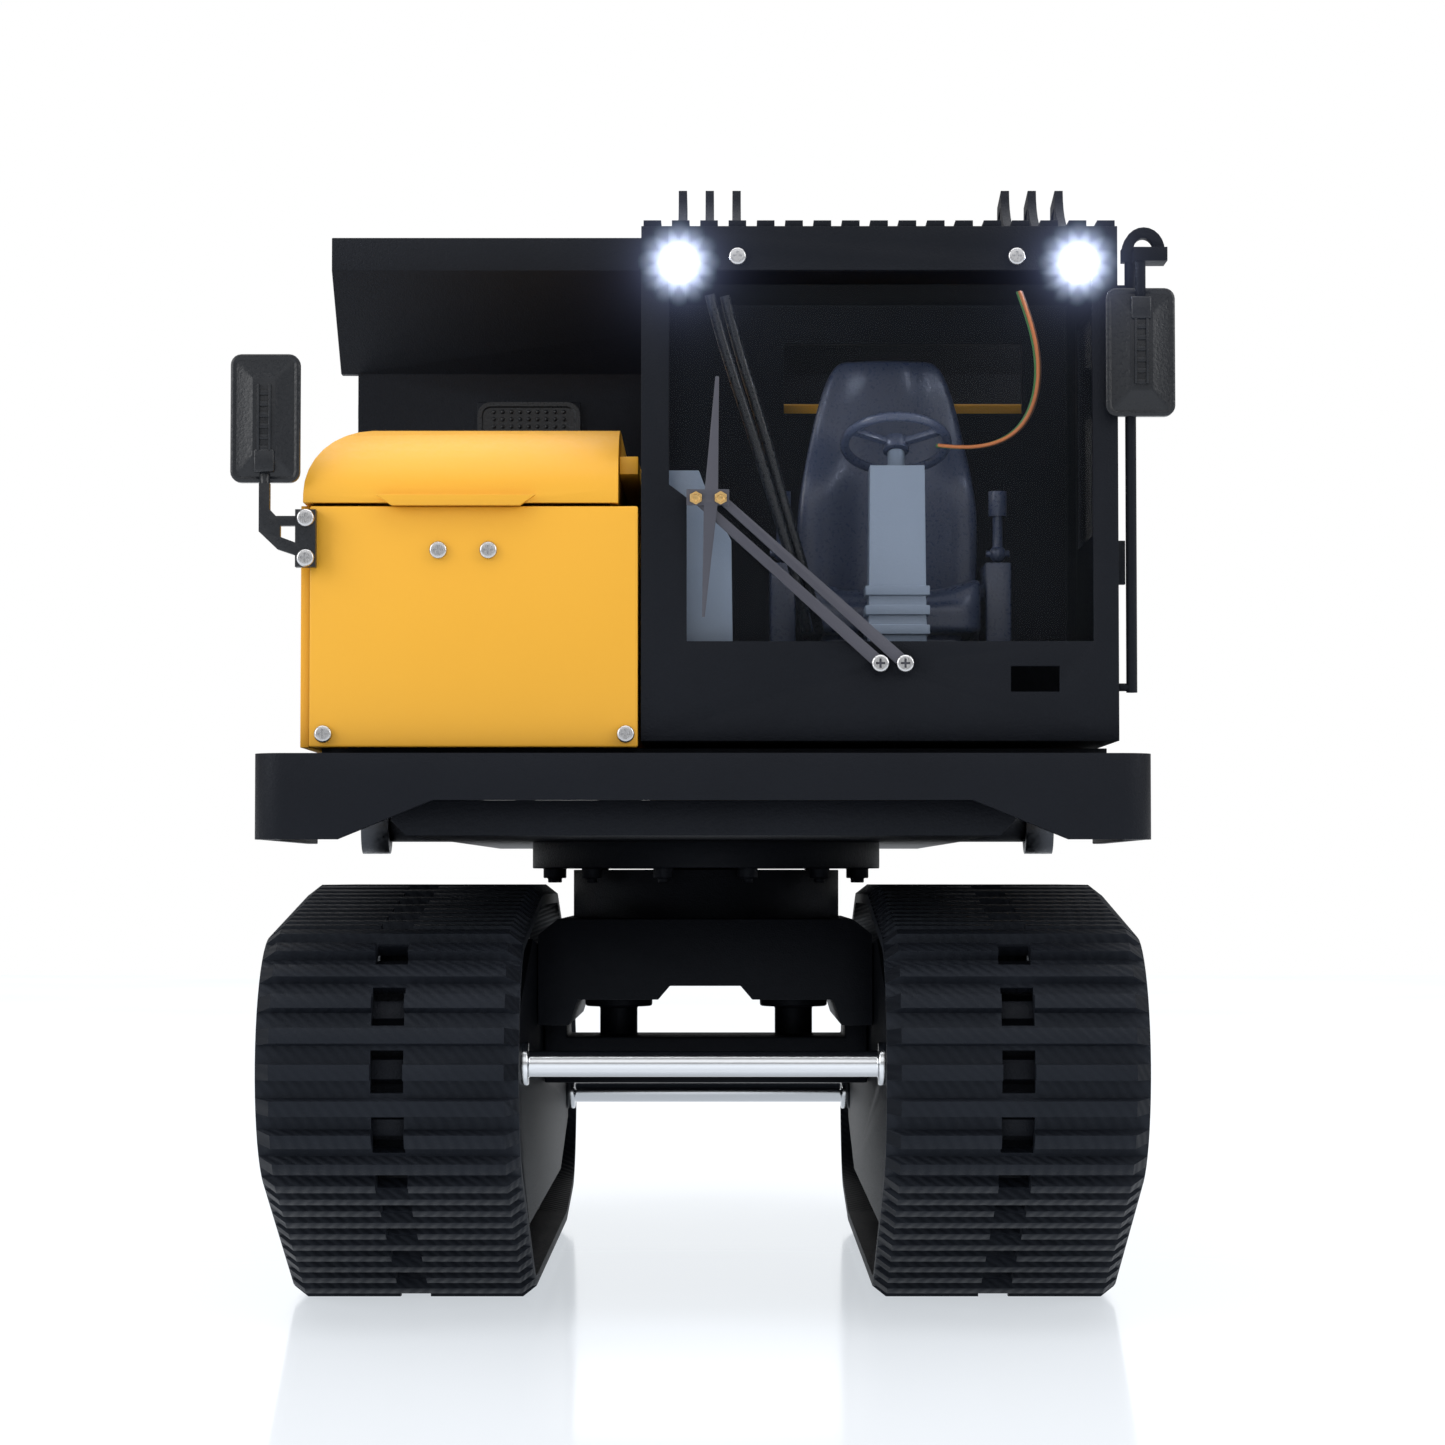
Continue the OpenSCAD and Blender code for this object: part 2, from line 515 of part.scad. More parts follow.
module windshield() color([0.7, 0.8, 0.85, 0.3]) union() {
    box([window_x0 - 2, window_x1 + 2], [face_y, face_y + 1], [window_z0 - 2, cab_top - 13]);
    box([cab_x0 + 3, cab_x0 + 4], [face_y + 18, cab_y1 - 18], [floor_z + 60, cab_top - 10]);
}

module roof_guard() color(black) {
    step = (cab_w - 5) / (slat_count - 1);
    for (i = [0:slat_count - 1]) box([cab_x0 + 0.5 + i * step, cab_x0 + 4.5 + i * step],
        [cab_y0 + 0.5, cab_y1 - 4], [cab_top, cab_top + 1.4]);
    for (y = [cab_y0 + 8, cab_y1 - 12]) box([cab_x0 + 1.5, cab_x1 - 1.5], [y, y + 4], [cab_top, cab_top + 1.2]);
    // curved fins, open behind the front edge
    rise = lip_top - cab_top;
    for (i = [1, 2, 3, slat_count - 4, slat_count - 3, slat_count - 2]) let (x = cab_x0 + 1.5 + i * step)
        side_plate([x, x + 2], concat(
            [for (a = [0:9:90]) [cab_y0 + 4 + 44 * sin(a), cab_top + 1 + (rise - 1) * (1 - cos(a))]],
            [[cab_y0 + 60, cab_top + rise - 2], [cab_y0 + 62, cab_top + 1], [cab_y0 + 58.5, cab_top + 1],
                [cab_y0 + 57, cab_top + rise - 5], [cab_y0 + 49, cab_top + rise - 4]],
            [for (a = [81:-9:0]) [cab_y0 + 8 + 44 * sin(a), cab_top + 0.5 + (rise - 5) * (1 - cos(a))]]));
}

module led_lamps() color("white") for (x = [cab_x0 + 8.5, cab_x1 - 8.6]) {
    rod_y(x, [cab_y0 - 0.8, face_y + 3], cab_top - 8, 2.5);
    rod_y(x, [face_y + 1, face_y + 4], cab_top - 8, 3.2);
}

module cab_door() color(black) {
    x = [cab_x1 - sheet, cab_x1];
    z = [floor_z + 3 + gap, cab_top - 6 - gap];
    difference() {
        box(x, [door_y0, door_y1], z);
        box(x + [-1, 1], [door_y0 + 6, door_y1 - 6], [floor_z + 50, z[1] - 6]);
    }
    // handle and hinge leaves
    box([cab_x1, cab_x1 + 2.4], [door_y0 + 3, door_y0 + 5], [floor_z + 36, floor_z + 46]);
    for (z = [floor_z + 20, cab_top - 30]) {
        rod_z(door_hinge[0], door_hinge[1], [z - 3.4, z + 8.4], 0.8);
        for (k = [z - 3.4, z + 5.4]) {
            rod_z(door_hinge[0], door_hinge[1], [k, k + 3], 1.6);
            box([cab_x1 - 0.5, door_hinge[0]], [door_y1 - 4, door_y1], [k, k + 3]);
            box([cab_x1 + gap, door_hinge[0]], [door_y1 - 1, door_hinge[1]], [k, k + 3]);
        }
    }
}

module door_glass() color([0.7, 0.8, 0.85, 0.3])
    box([cab_x1 - 1.4, cab_x1 - 0.6], [door_y0 + 6, door_y1 - 6], [floor_z + 50, cab_top - 12 - gap]);

module seat() color(slate) {
    x = seat_x;
    back = seat_y + 2;
    z = floor_z + 36.7;
    front_plate([back, back + 9], [[x - 20, z - 3], [x + 20, z - 3], [x + 22, z + 16], [x + 18, z + 42], [x + 15, z + 55],
        [x + 10, z + 59], [x - 10, z + 59], [x - 15, z + 55], [x - 18, z + 42], [x - 22, z + 16]]);
    box([x - 21, x + 21], [back - 34, back + 1], [z - 12, z]);
    box([x - 13, x + 13], [back - 26, back + 6], [floor_z + sheet, z - 11]);
    both_sides_of(x) box([22.5, 29], [back - 22, back + 2], [z - 16, z + 8]);
    both_sides_of(x) box([20, 23], [back - 8, back], [z - 10, z]);
}
module both_sides_of(x) translate([x, 0, 0]) both_sides() children();

column_y = face_y + 18;
column_top = floor_z + 64;
wheel_tilt = 25;
module steering_column() color("#74819a") {
    front_plate([column_y - 5, column_y + 5], [[seat_x - 6.9, floor_z + sheet], [seat_x + 6.9, floor_z + sheet],
        [seat_x + 6.3, column_top], [seat_x - 6.3, column_top]]);
    for (k = [0:2]) box([seat_x - 7.4, seat_x + 7.4], [column_y - 5.8, column_y + 5.8],
        [floor_z + 25 + 4.5 * k, floor_z + 27.2 + 4.5 * k]);
    translate([seat_x, column_y, column_top]) rotate([-wheel_tilt, 0, 0]) rod_z(0, 0, [-3, 4], 2);
    // grey side console by the left wall
    front_plate([face_y + 6, face_y + 40], [[cab_x0 + 6, floor_z + sheet], [cab_x0 + 21, floor_z + sheet],
        [cab_x0 + 20.4, floor_z + 46], [cab_x0 + 16, floor_z + 54], [cab_x0 + 13, floor_z + 62],
        [cab_x0 + 6, floor_z + 62]]);
}

module steering_wheel() color("#74819a") translate([seat_x, column_y, column_top]) rotate([-wheel_tilt, 0, 0])
    translate([0, 0, 4 + gap]) {
        rotate_extrude($fn = 48) translate([11.9, 2]) circle(r = 1.1, $fn = 16);
        rod_z(0, 0, [0, 3], 3);
        for (a = [90, 210, 330]) rotate([0, 0, a]) box([0, 11.5], [-0.8, 0.8], [1.2, 2.6]);
    }

stick_y = seat_y - 14;
stick_z = floor_z + 47.1;
module joystick(x) color(slate) translate([x, stick_y, stick_z]) {
    rod_z(0, 0, [-0.3, 10], 1.2);
    rod_z(0, 0, [9, 15], 2.2);
    sphere(r = 2, $fn = 32);
    rod_x([-2.8, 2.8], 0, 0, 0.8);
}

module light_lead() color("#b05a2a") tube([for (p = lead_points) p + [0, 0, cab_top - 250]], lead_radius);

module grab_rail() color(black) {
    z0 = floor_z + 11;
    z1 = cab_top - 6;
    y = [rail_y - 1.5, rail_y + 1.5];
    rod_z(rail_x, rail_y, [z0, z1], 1.25);
    for (z = [z0 + 1.2, z1 - 8]) rod_x([cab_x1, rail_x], rail_y, z, 0.9);
    // arched arm that carries the right mirror
    box([rail_x - 2, rail_x + 1.6], y, [z1 - 2, z1 + 1]);
    front_plate(y, concat([for (a = [180:-15:0]) [rail_x + 3 + 4.8 * cos(a), z1 + 0.5 + 5.4 * sin(a)]],
        [for (a = [0:15:180]) [rail_x + 3 + 2.4 * cos(a), z1 + 0.5 + 3 * sin(a)]]));
    box([mirror_x - 1.6, rail_x + 7.8], [mirror_y - 1.6, rail_y + 1.5], [z1 - 2.5, z1 + 0.6]);
    rod_z(mirror_x, mirror_y, [mirror_right_z + 8, z1 - 1], 1.2);
}

module mirror_arm_left() color(black) {
    z = mirror_left_z;
    front_plate([mirror_y - 1.2, mirror_y + 1.2], [[-mirror_x - 1.2, z - 14.8], [-mirror_x - 1.2, z - 25.7], [-mirror_x + 3, z - 29.7],
        [hood_x0 - 1, z - 31.7], [hood_x0 - 1, z - 28.9], [-mirror_x + 3.6, z - 26.9],
        [-mirror_x + 3.6, z - 24.4], [hood_x0 - 1, z - 24.4], [hood_x0 - 1, z - 22.2],
        [-mirror_x + 2.6, z - 22.2], [-mirror_x + 1.2, z - 20.7], [-mirror_x + 1.2, z - 14.8]]);
    box([hood_x0 - 3, hood_x0 + 1.6], [mirror_y - 1.2, front_y + 5], [z - 33.7, z - 20.7]);
    rod_z(-mirror_x, mirror_y, [z - 15, z - 8], 1.2);
}

// Mirror head: a plate whose back swells to the clamp
module mirror_head(x, z, clamp) color(black) translate([x, mirror_y, z]) difference() {
    union() {
        front_plate([0, 2.2], [[-7.3, -13.5], [-6, -14.5], [6, -14.5], [7.3, -13.5], [7.8, 0], [7.3, 13.5], [6, 14.5],
            [-6, 14.5], [-7.3, 13.5], [-7.8, 0]]);
        front_plate([-1.2, 0.1], [[-5, -10.5], [5, -10.5], [5.5, 0], [5, 10.5], [-5, 10.5], [-5.5, 0]]);
        box([-2.6, 2.6], [-2.8, 0], [-8, 8]);
        box([-2.6, 2.6], [-2.8, 2.2], clamp > 0 ? [7, 12.5] : [-12.5, -7]);
    }
    rod_z(0, 0, clamp > 0 ? [7.5, 15] : [-15, -7.5], 1.2 + fit);
}

// ---- Wiper ----
module wiper_arm(i) color("#3a3a46") {
    p = wiper_pivot[i];
    q = wiper_joint[i];
    a = atan2(q[1] - p[1], q[0] - p[0]);
    run = norm(q - p);
    y = wiper_y - 0.4;
    translate([p[0], 0, p[1]]) rotate([0, -a, 0]) {
        front_plate([y - 0.5, y + 0.5], [[-1.4, -1.4], [2, -1.4], [run, -1], [run + 1.2, 0], [run, 1],
            [2, 1.4], [-1.4, 1.4]]);
        rod_y(0, [y, face_y - 0.3], 0, 1.2);
        rod_y(0, [y - 1.3, y], 0, 1.9);
        rod_y(run, [y - 1.6, y], 0, 0.8);
    }
}

module wiper_blade() color("#3a3a46") {
    y = wiper_y - 1.5;
    x = wiper_joint[0][0];
    difference() {
        union() {
            front_plate([y - 0.6, y], [[wiper_joint[0][0] - 2, wiper_joint[0][1] - 1.8],
                [wiper_joint[1][0] + 2, wiper_joint[1][1] - 1.8], [wiper_joint[1][0] + 2, wiper_joint[1][1] + 1.8],
                [wiper_joint[0][0] - 2, wiper_joint[0][1] + 1.8]]);
            front_plate([y - 0.6, y], [[x + 2.1, floor_z + 27.7], [x + 1.5, floor_z + 27.7], [x + 1.9, floor_z + 54],
                [x + 4.5, floor_z + 82], [x + 5.3, floor_z + 82], [x + 5.1, floor_z + 54]]);
        }
        for (q = wiper_joint) rod_y(q[0], [y - 2, y + 1], q[1], 0.8 + fit);
    }
}

// ---- Dump bed ----
module dump_bed() color(black) {
    tail = [rear_y, bed_floor + 45];
    wall = bed_wall;
    back = bed_pivot[0];
    difference() {
        // side outline, headboard leaning forward over the cab
        side_plate([-bed_half, bed_half], [[bed_front, bed_floor - wall], [back, bed_floor - wall], tail,
            [tail[0] - 4, tail[1] + 1.5], [back - 10, bed_rim], [bed_front + 6, bed_rim], [bed_front + 3.4, bed_rim + 7],
            [bed_front - 25 + 2, lip_top], [bed_front - 25, lip_top], [bed_front - 25, lip_top - 8.5], [bed_front, bed_rim + 7]]);
        side_plate([-bed_half + wall, bed_half - wall], [[bed_front + wall, bed_floor], [back - 1, bed_floor],
            [tail[0] + 2, tail[1] + 3.5], [tail[0] + 2, lip_top + 9], [bed_front - 20, lip_top + 9],
            [bed_front - 20, lip_top - 2], [bed_front + wall, bed_rim + 7.5]]);
    }
    both_sides() {
        // headboard wings, rim rail, lift pin and pivot lugs
        side_plate([bed_half - 0.5, bed_half + 4.5], [[bed_front + 3.4, bed_rim + 7], [bed_front - 23, lip_top],
            [bed_front - 25, lip_top], [bed_front - 25, lip_top - 8.5], [bed_front, bed_rim + 7]]);
        box([bed_half - 1, bed_half + 0.8], [bed_front + 8, back - 14], [bed_rim - 4, bed_rim]);
        rod_x([bed_half - 1, lift_x[1]], lift_head[0], lift_head[1], 3);
        difference() {
            box([62.4, 68], [back - 6, back + 6], [bed_pivot[1] - 5, bed_floor - wall + 1]);
            rod_x([61, 69], bed_pivot[0], bed_pivot[1], 2.5 + fit);
        }
    }
    // tread pad on the front wall
    box([-60, -33], [bed_front - 1, bed_front + 0.5], [bed_rim - 11.5, bed_rim - 0.5]);
}

module lift_barrels() color("#2c3138") both_sides() translate([0, lift_foot[0], lift_foot[1]])
    rotate([atan2(lift_dir[1], lift_dir[0]) - 90, 0, 0]) difference() {
        union() {
            rod_x(lift_x, 0, 0, 7.5);
            translate([(lift_x[0] + lift_x[1]) / 2, 0, 6]) cylinder(r = 3.7, h = 74);
        }
        rod_x([lift_x[0] - 1, lift_x[1] + 1], 0, 0, 4 + fit);
        translate([(lift_x[0] + lift_x[1]) / 2, 0, 8]) cylinder(r = 2.4 + fit, h = 80);
    }

module lift_rods() color("silver") both_sides() translate([0, lift_foot[0], lift_foot[1]])
    rotate([atan2(lift_dir[1], lift_dir[0]) - 90, 0, 0]) difference() {
        union() {
            translate([(lift_x[0] + lift_x[1]) / 2, 0, 10]) cylinder(r = 2.4, h = lift_length - 14);
            box([lift_x[0] + 1, lift_x[1] - 1], [-6, 6], [lift_length - 5.5, lift_length + lift_slot + 6]);
        }
        // slotted eye, which takes up the slack of the lift
        rod_x([lift_x[0], lift_x[1]], 0, lift_length, 3.3);
        rod_x([lift_x[0], lift_x[1]], 0, lift_length + lift_slot, 3.3);
        box([lift_x[0], lift_x[1]], [-3.3, 3.3], [lift_length, lift_length + lift_slot]);
    }

// ---- Inside the hood ----
module battery_pack() color("#3f6fa8")
    box([hood_x0 + 6, cab_x0 - 10], [front_y + 20, front_y + 62], [panel_z0, panel_z0 + 30]);
module hydraulic_pump() color("#8b9097") {
    box([hood_x0 + 10, hood_x0 + 34], [front_y + 72, front_y + 98], [panel_z0, panel_z0 + 24]);
    rod_y(hood_x0 + 22, [front_y + 64, front_y + 73], panel_z0 + 12, 8);
    rod_z(hood_x0 + 50, front_y + 84, [panel_z0, panel_z0 + 36], 11);
}

// All pan-head screws are the same part
module screw(x, y, z) {
    rod_y(x, [y - 1.3, y], z, 2);
}
module panel_screws() color("silver") {
    for (p = [[hood_x0 + 29, panel_z0 + 44.4], [hood_x0 + 40.3, panel_z0 + 44.4], [hood_x0 + 3.2, panel_z0 + 2.9],
        [hood_x0 + hood_width - 2.7, panel_z0 + 2.9]]) screw(p[0], front_y + 5, p[1]);
    for (x = [cab_x0 + 21.8, cab_x1 - 22.8]) screw(x, cab_y0, cab_top - 7);
    for (z = [mirror_left_z - 22.7, mirror_left_z - 31.7]) screw(hood_x0 - 0.6, mirror_y - 1.2, z);
}

car_body();
cross_beam();
cross_axles();
track_frame(-1);  // track_frame_left
track_frame(1);  // track_frame_right
track(-1);  // track_left
track(1);  // track_right
travel_motors();
sprocket(-1);  // sprocket_left
sprocket(1);  // sprocket_right
idler(-1);  // idler_left
idler(1);  // idler_right
road_wheel(-1, 1);  // road_wheel_left_1
road_wheel(-1, 2);  // road_wheel_left_2
road_wheel(-1, 3);  // road_wheel_left_3
road_wheel(-1, 4);  // road_wheel_left_4
road_wheel(1, 1);  // road_wheel_right_1
road_wheel(1, 2);  // road_wheel_right_2
road_wheel(1, 3);  // road_wheel_right_3
road_wheel(1, 4);  // road_wheel_right_4
top_roller(-1, 1);  // top_roller_left_1
top_roller(-1, 2);  // top_roller_left_2
top_roller(1, 1);  // top_roller_right_1
top_roller(1, 2);  // top_roller_right_2
deck_frame();
front_bumper();
side_skirts();
slew_flange();
slew_motor();
slew_pinion();
hood_shell();
hood_front_panel();
hood_lid();
rear_bulkhead();
cab_shell();
cab_front_plate();
windshield();
roof_guard();
led_lamps();
cab_door();
door_glass();
seat();
steering_column();
steering_wheel();
joystick(seat_x - 26);  // joystick_left
joystick(seat_x + 26);  // joystick_right
light_lead();
grab_rail();
mirror_arm_left();
mirror_head(-mirror_x, mirror_left_z, -1);  // mirror_left
mirror_head(mirror_x, mirror_right_z, 1);  // mirror_right
wiper_arm(0);  // wiper_arm_left
wiper_arm(1);  // wiper_arm_right
wiper_blade();
dump_bed();
lift_barrels();
lift_rods();
battery_pack();
hydraulic_pump();
panel_screws();
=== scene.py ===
import bpy
import json
import math
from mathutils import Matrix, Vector


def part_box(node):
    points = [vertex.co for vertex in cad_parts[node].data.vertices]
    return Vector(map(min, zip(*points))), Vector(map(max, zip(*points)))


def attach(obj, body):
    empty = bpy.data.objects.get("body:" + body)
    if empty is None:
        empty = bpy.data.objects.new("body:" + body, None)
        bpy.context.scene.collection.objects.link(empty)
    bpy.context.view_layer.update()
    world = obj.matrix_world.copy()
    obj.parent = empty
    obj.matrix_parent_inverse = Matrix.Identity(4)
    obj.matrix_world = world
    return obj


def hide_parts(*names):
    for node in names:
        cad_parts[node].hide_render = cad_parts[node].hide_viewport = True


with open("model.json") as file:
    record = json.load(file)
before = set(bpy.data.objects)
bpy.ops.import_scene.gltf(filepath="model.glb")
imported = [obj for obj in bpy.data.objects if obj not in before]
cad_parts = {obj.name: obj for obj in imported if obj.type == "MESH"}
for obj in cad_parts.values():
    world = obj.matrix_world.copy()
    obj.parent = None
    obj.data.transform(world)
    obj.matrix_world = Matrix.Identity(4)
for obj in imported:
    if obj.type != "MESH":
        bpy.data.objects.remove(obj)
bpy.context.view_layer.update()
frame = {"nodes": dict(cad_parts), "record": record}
nodes = frame["nodes"]
bodyOf = {n: b for b, members in frame["record"]["behaviour"]["bodies"].items() for n in members}
mm = 0.001


def deselectAll():
    if bpy.context.object and bpy.context.object.mode == "EDIT":
        bpy.ops.object.mode_set(mode="OBJECT")
    bpy.ops.object.select_all(action="DESELECT")


def makeActive(*objects):
    deselectAll()
    for thing in objects:
        thing.select_set(True)
    bpy.context.view_layer.objects.active = objects[0]


deselectAll()

# camera: low, straight at the bumper, tipped up a little
cameraView = {"place": (0.0044, -1.055, 0.102), "tip": 2.4, "lens": 93.6}
bpy.ops.object.camera_add(location=cameraView["place"], rotation=(math.radians(90 + cameraView["tip"]), 0, 0))
camera = bpy.context.object
camera.data.lens = cameraView["lens"]
camera.data.clip_end = 20
bpy.context.scene.camera = camera


# Shader maths: a wire is a socket that can be added, multiplied and so on
class Wire:
    def __init__(self, finish, socket):
        self.finish = finish
        self.socket = socket

    def math(self, operation, first, second=0.0):
        return self.finish.node("ShaderNodeMath", {"operation": operation}, {0: first, 1: second})

    def __add__(self, other):
        return self.math("ADD", self, other)

    def __radd__(self, other):
        return self.math("ADD", other, self)

    def __sub__(self, other):
        return self.math("SUBTRACT", self, other)

    def __rsub__(self, other):
        return self.math("SUBTRACT", other, self)

    def __mul__(self, other):
        return self.math("MULTIPLY", self, other)

    def __rmul__(self, other):
        return self.math("MULTIPLY", other, self)


class Finish:
    def __init__(self, name, color, roughness, metallic=0.0, **constants):
        self.material = bpy.data.materials.new(name)
        self.material.use_nodes = True
        self.tree = self.material.node_tree
        self.shader = self.tree.nodes["Principled BSDF"]
        self.set(**{"Base Color": (*color, 1), "Roughness": roughness, "Metallic": metallic})
        self.set(**constants)
        self.place = self.node("ShaderNodeTexCoord", out="Object")

    def node(self, kind, settings=None, values=None, out=0):
        made = self.tree.nodes.new(kind)
        for key, value in (settings or {}).items():
            if key == "stops":
                for stop, (position, color) in zip(made.color_ramp.elements, value):
                    stop.position = position
                    stop.color = color
            else:
                setattr(made, key, value)
        for key, value in (values or {}).items():
            self.plug(made.inputs[key], value)
        return Wire(self, made.outputs[out])

    def plug(self, socket, value):
        if isinstance(value, Wire):
            self.tree.links.new(value.socket, socket)
        else:
            socket.default_value = value

    def set(self, **values):
        for key, value in values.items():
            self.plug(self.shader.inputs[key.replace("_", " ")], value)

    def noise(self, scale, detail=2.0, stretch=None):
        place = self.place
        if stretch:
            place = self.node("ShaderNodeMapping", values={"Vector": place, "Scale": stretch})
        return self.node("ShaderNodeTexNoise", values={"Vector": place, "Scale": scale, "Detail": detail})

    def range(self, value, low, high, start=0.3, end=0.7):
        return self.node("ShaderNodeMapRange", values={
            "Value": value, "From Min": start, "From Max": end, "To Min": low, "To Max": high})

    def blend(self, factor, first, second):
        return self.node("ShaderNodeMix", {"data_type": "RGBA"}, {0: factor, 6: (*first, 1), 7: (*second, 1)}, out=2)

    def bump(self, height, strength, distance):
        self.set(Normal=self.node("ShaderNodeBump", values={
            "Height": height, "Strength": strength, "Distance": distance}))


def blackCoat():
    finish = Finish("blackCoat", (0.005, 0.006, 0.01), 0.5, Specular_IOR_Level=0.17,
                    Specular_Tint=(0.84, 0.9, 1.0, 1))
    grain = finish.noise(2600, 3)
    cloud = finish.noise(38, 4)
    finish.set(Base_Color=finish.blend(cloud, (0.0025, 0.003, 0.0048), (0.0055, 0.0064, 0.0095)),
               Roughness=finish.range(grain, 0.42, 0.62))
    finish.bump(grain + 0.5 * finish.noise(900, 2), 0.55, 0.00022)
    return finish.material


def yellowPaint():
    finish = Finish("yellowPaint", (0.71, 0.36, 0.04), 0.42, Specular_IOR_Level=0.3)
    cloud = finish.noise(14, 3)
    peel = finish.noise(700, 2)
    finish.set(Base_Color=finish.blend(cloud, (0.70, 0.345, 0.026), (0.76, 0.39, 0.034)),
               Roughness=finish.range(peel, 0.36, 0.5))
    finish.bump(peel, 0.16, 0.0002)
    return finish.material


def trackRubber():
    finish = Finish("trackRubber", (0.006, 0.007, 0.011), 0.6, Specular_IOR_Level=0.2,
                    Specular_Tint=(0.78, 0.87, 1.0, 1))
    lines = finish.node("ShaderNodeTexWave", {"wave_type": "BANDS", "bands_direction": "DIAGONAL"}, {
        "Vector": finish.place, "Scale": 210.0, "Distortion": 1.2, "Detail": 2.0, "Detail Scale": 2.0}, out=1)
    dust = finish.noise(60, 5)
    finish.set(Base_Color=finish.blend(dust, (0.0035, 0.0045, 0.007), (0.009, 0.0105, 0.015)),
               Roughness=finish.range(lines + 0.6 * dust, 0.5, 0.68, 0.2, 1.4))
    finish.bump(lines + 0.8 * finish.noise(1500, 2), 0.4, 0.00025)
    return finish.material


def moulded(name, dark, light, roughness, grainScale=1800, strength=0.25, **constants):
    finish = Finish(name, dark, roughness, **constants)
    grain = finish.noise(grainScale, 2)
    finish.set(Base_Color=finish.blend(finish.noise(45, 3), dark, light),
               Roughness=finish.range(grain, roughness - 0.06, roughness + 0.08))
    finish.bump(grain, strength, 0.00015)
    return finish.material


def polished(name, dark, light, roughness, stretch=(1, 1, 1)):
    finish = Finish(name, light, roughness, 1.0)
    scratch = finish.noise(900, 3, stretch)
    finish.set(Base_Color=finish.blend(scratch, dark, light),
               Roughness=finish.range(scratch, roughness * 0.7, roughness * 1.4))
    finish.bump(scratch, 0.08, 0.0001)
    return finish.material


def clearWindow():
    finish = Finish("clearWindow", (0.03, 0.036, 0.045), 0.02)
    finish.set(Alpha=finish.range(finish.noise(25, 3), 0.04, 0.06))
    finish.material.surface_render_method = "BLENDED"
    return finish.material


def litLamp():
    finish = Finish("litLamp", (0.9, 0.93, 1.0), 0.2, Emission_Strength=lampGlow["strength"])
    cell = finish.node("ShaderNodeTexVoronoi", values={"Vector": finish.place, "Scale": 900.0})
    finish.set(Emission_Color=finish.blend(cell, (0.85, 0.9, 1.0), (0.6, 0.7, 1.0)))
    return finish.material


lampGlow = {"strength": 60.0}
finishes = {
    "black_coat": blackCoat(),
    "yellow_paint": yellowPaint(),
    "track_rubber": trackRubber(),
    "slate_plastic": moulded("slatePlastic", (0.045, 0.06, 0.108), (0.06, 0.077, 0.132), 0.3, 1300, 0.35),
    "mirror_plastic": moulded("mirrorPlastic", (0.006, 0.0075, 0.01), (0.011, 0.0125, 0.016), 0.3, 1400, 0.5,
                               Specular_IOR_Level=0.35),
    "wiper_metal": moulded("wiperMetal", (0.035, 0.036, 0.05), (0.06, 0.061, 0.08), 0.36),
    "lead_insulation": moulded("leadOrange", (0.42, 0.12, 0.03), (0.5, 0.17, 0.05), 0.4, 900, 0.1),
    "battery_wrap": moulded("batteryWrap", (0.03, 0.09, 0.3), (0.04, 0.12, 0.36), 0.3, 600, 0.1),
    "cast_alloy": polished("castAlloy", (0.09, 0.095, 0.105), (0.15, 0.155, 0.17), 0.42),
    "chrome_rod": polished("chromeRod", (0.62, 0.64, 0.67), (0.78, 0.8, 0.83), 0.13, (1, 40, 40)),
    "steel": polished("turnedSteel", (0.45, 0.45, 0.46), (0.6, 0.6, 0.61), 0.25, (8, 1, 1)),
    "dark_steel": polished("blackenedSteel", (0.045, 0.048, 0.055), (0.07, 0.075, 0.085), 0.38),
    "clear_window": clearWindow(),
    "lamp": litLamp(),
}
paleSlate = moulded("paleSlate", (0.17, 0.215, 0.29), (0.2, 0.25, 0.33), 0.34, 1300, 0.3)
brass = polished("brassHex", (0.5, 0.32, 0.12), (0.62, 0.42, 0.18), 0.3)
leadBrown = moulded("leadBrown", (0.06, 0.025, 0.012), (0.09, 0.035, 0.016), 0.4, 900, 0.1)
leadGreen = moulded("leadGreen", (0.03, 0.14, 0.03), (0.04, 0.18, 0.045), 0.4, 900, 0.1)
slotOf = {part["node"]: part["material_slot"] for part in frame["record"]["subparts"]}


def wear(piece, material):
    piece.data.materials.clear()
    piece.data.materials.append(material)


for name, node in nodes.items():
    wear(node, finishes[slotOf[name]])
print("finishes done")


def settle(piece, name, material, body):
    makeActive(piece)
    bpy.ops.object.transform_apply(location=True, rotation=True, scale=True)
    piece.name = name
    wear(piece, material)
    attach(piece, body)
    return piece


def startBlock(low, high):
    deselectAll()
    low, high = Vector(low), Vector(high)
    bpy.ops.mesh.primitive_cube_add(size=1, location=(low + high) / 2, scale=high - low)
    piece = bpy.context.object
    bpy.ops.object.transform_apply(location=True, rotation=True, scale=True)
    return piece


def addModifier(piece, kind, **settings):
    modifier = piece.modifiers.new(kind, kind)
    for key, value in settings.items():
        setattr(modifier, key, value)
    makeActive(piece)
    bpy.ops.object.modifier_apply(modifier=modifier.name)


def roundEdges(piece, width, segments=2, angle=32):
    addModifier(piece, "BEVEL", width=width, segments=segments, limit_method="ANGLE",
                angle_limit=math.radians(angle), harden_normals=False)
    makeActive(piece)
    bpy.ops.object.shade_smooth_by_angle(angle=math.radians(40))


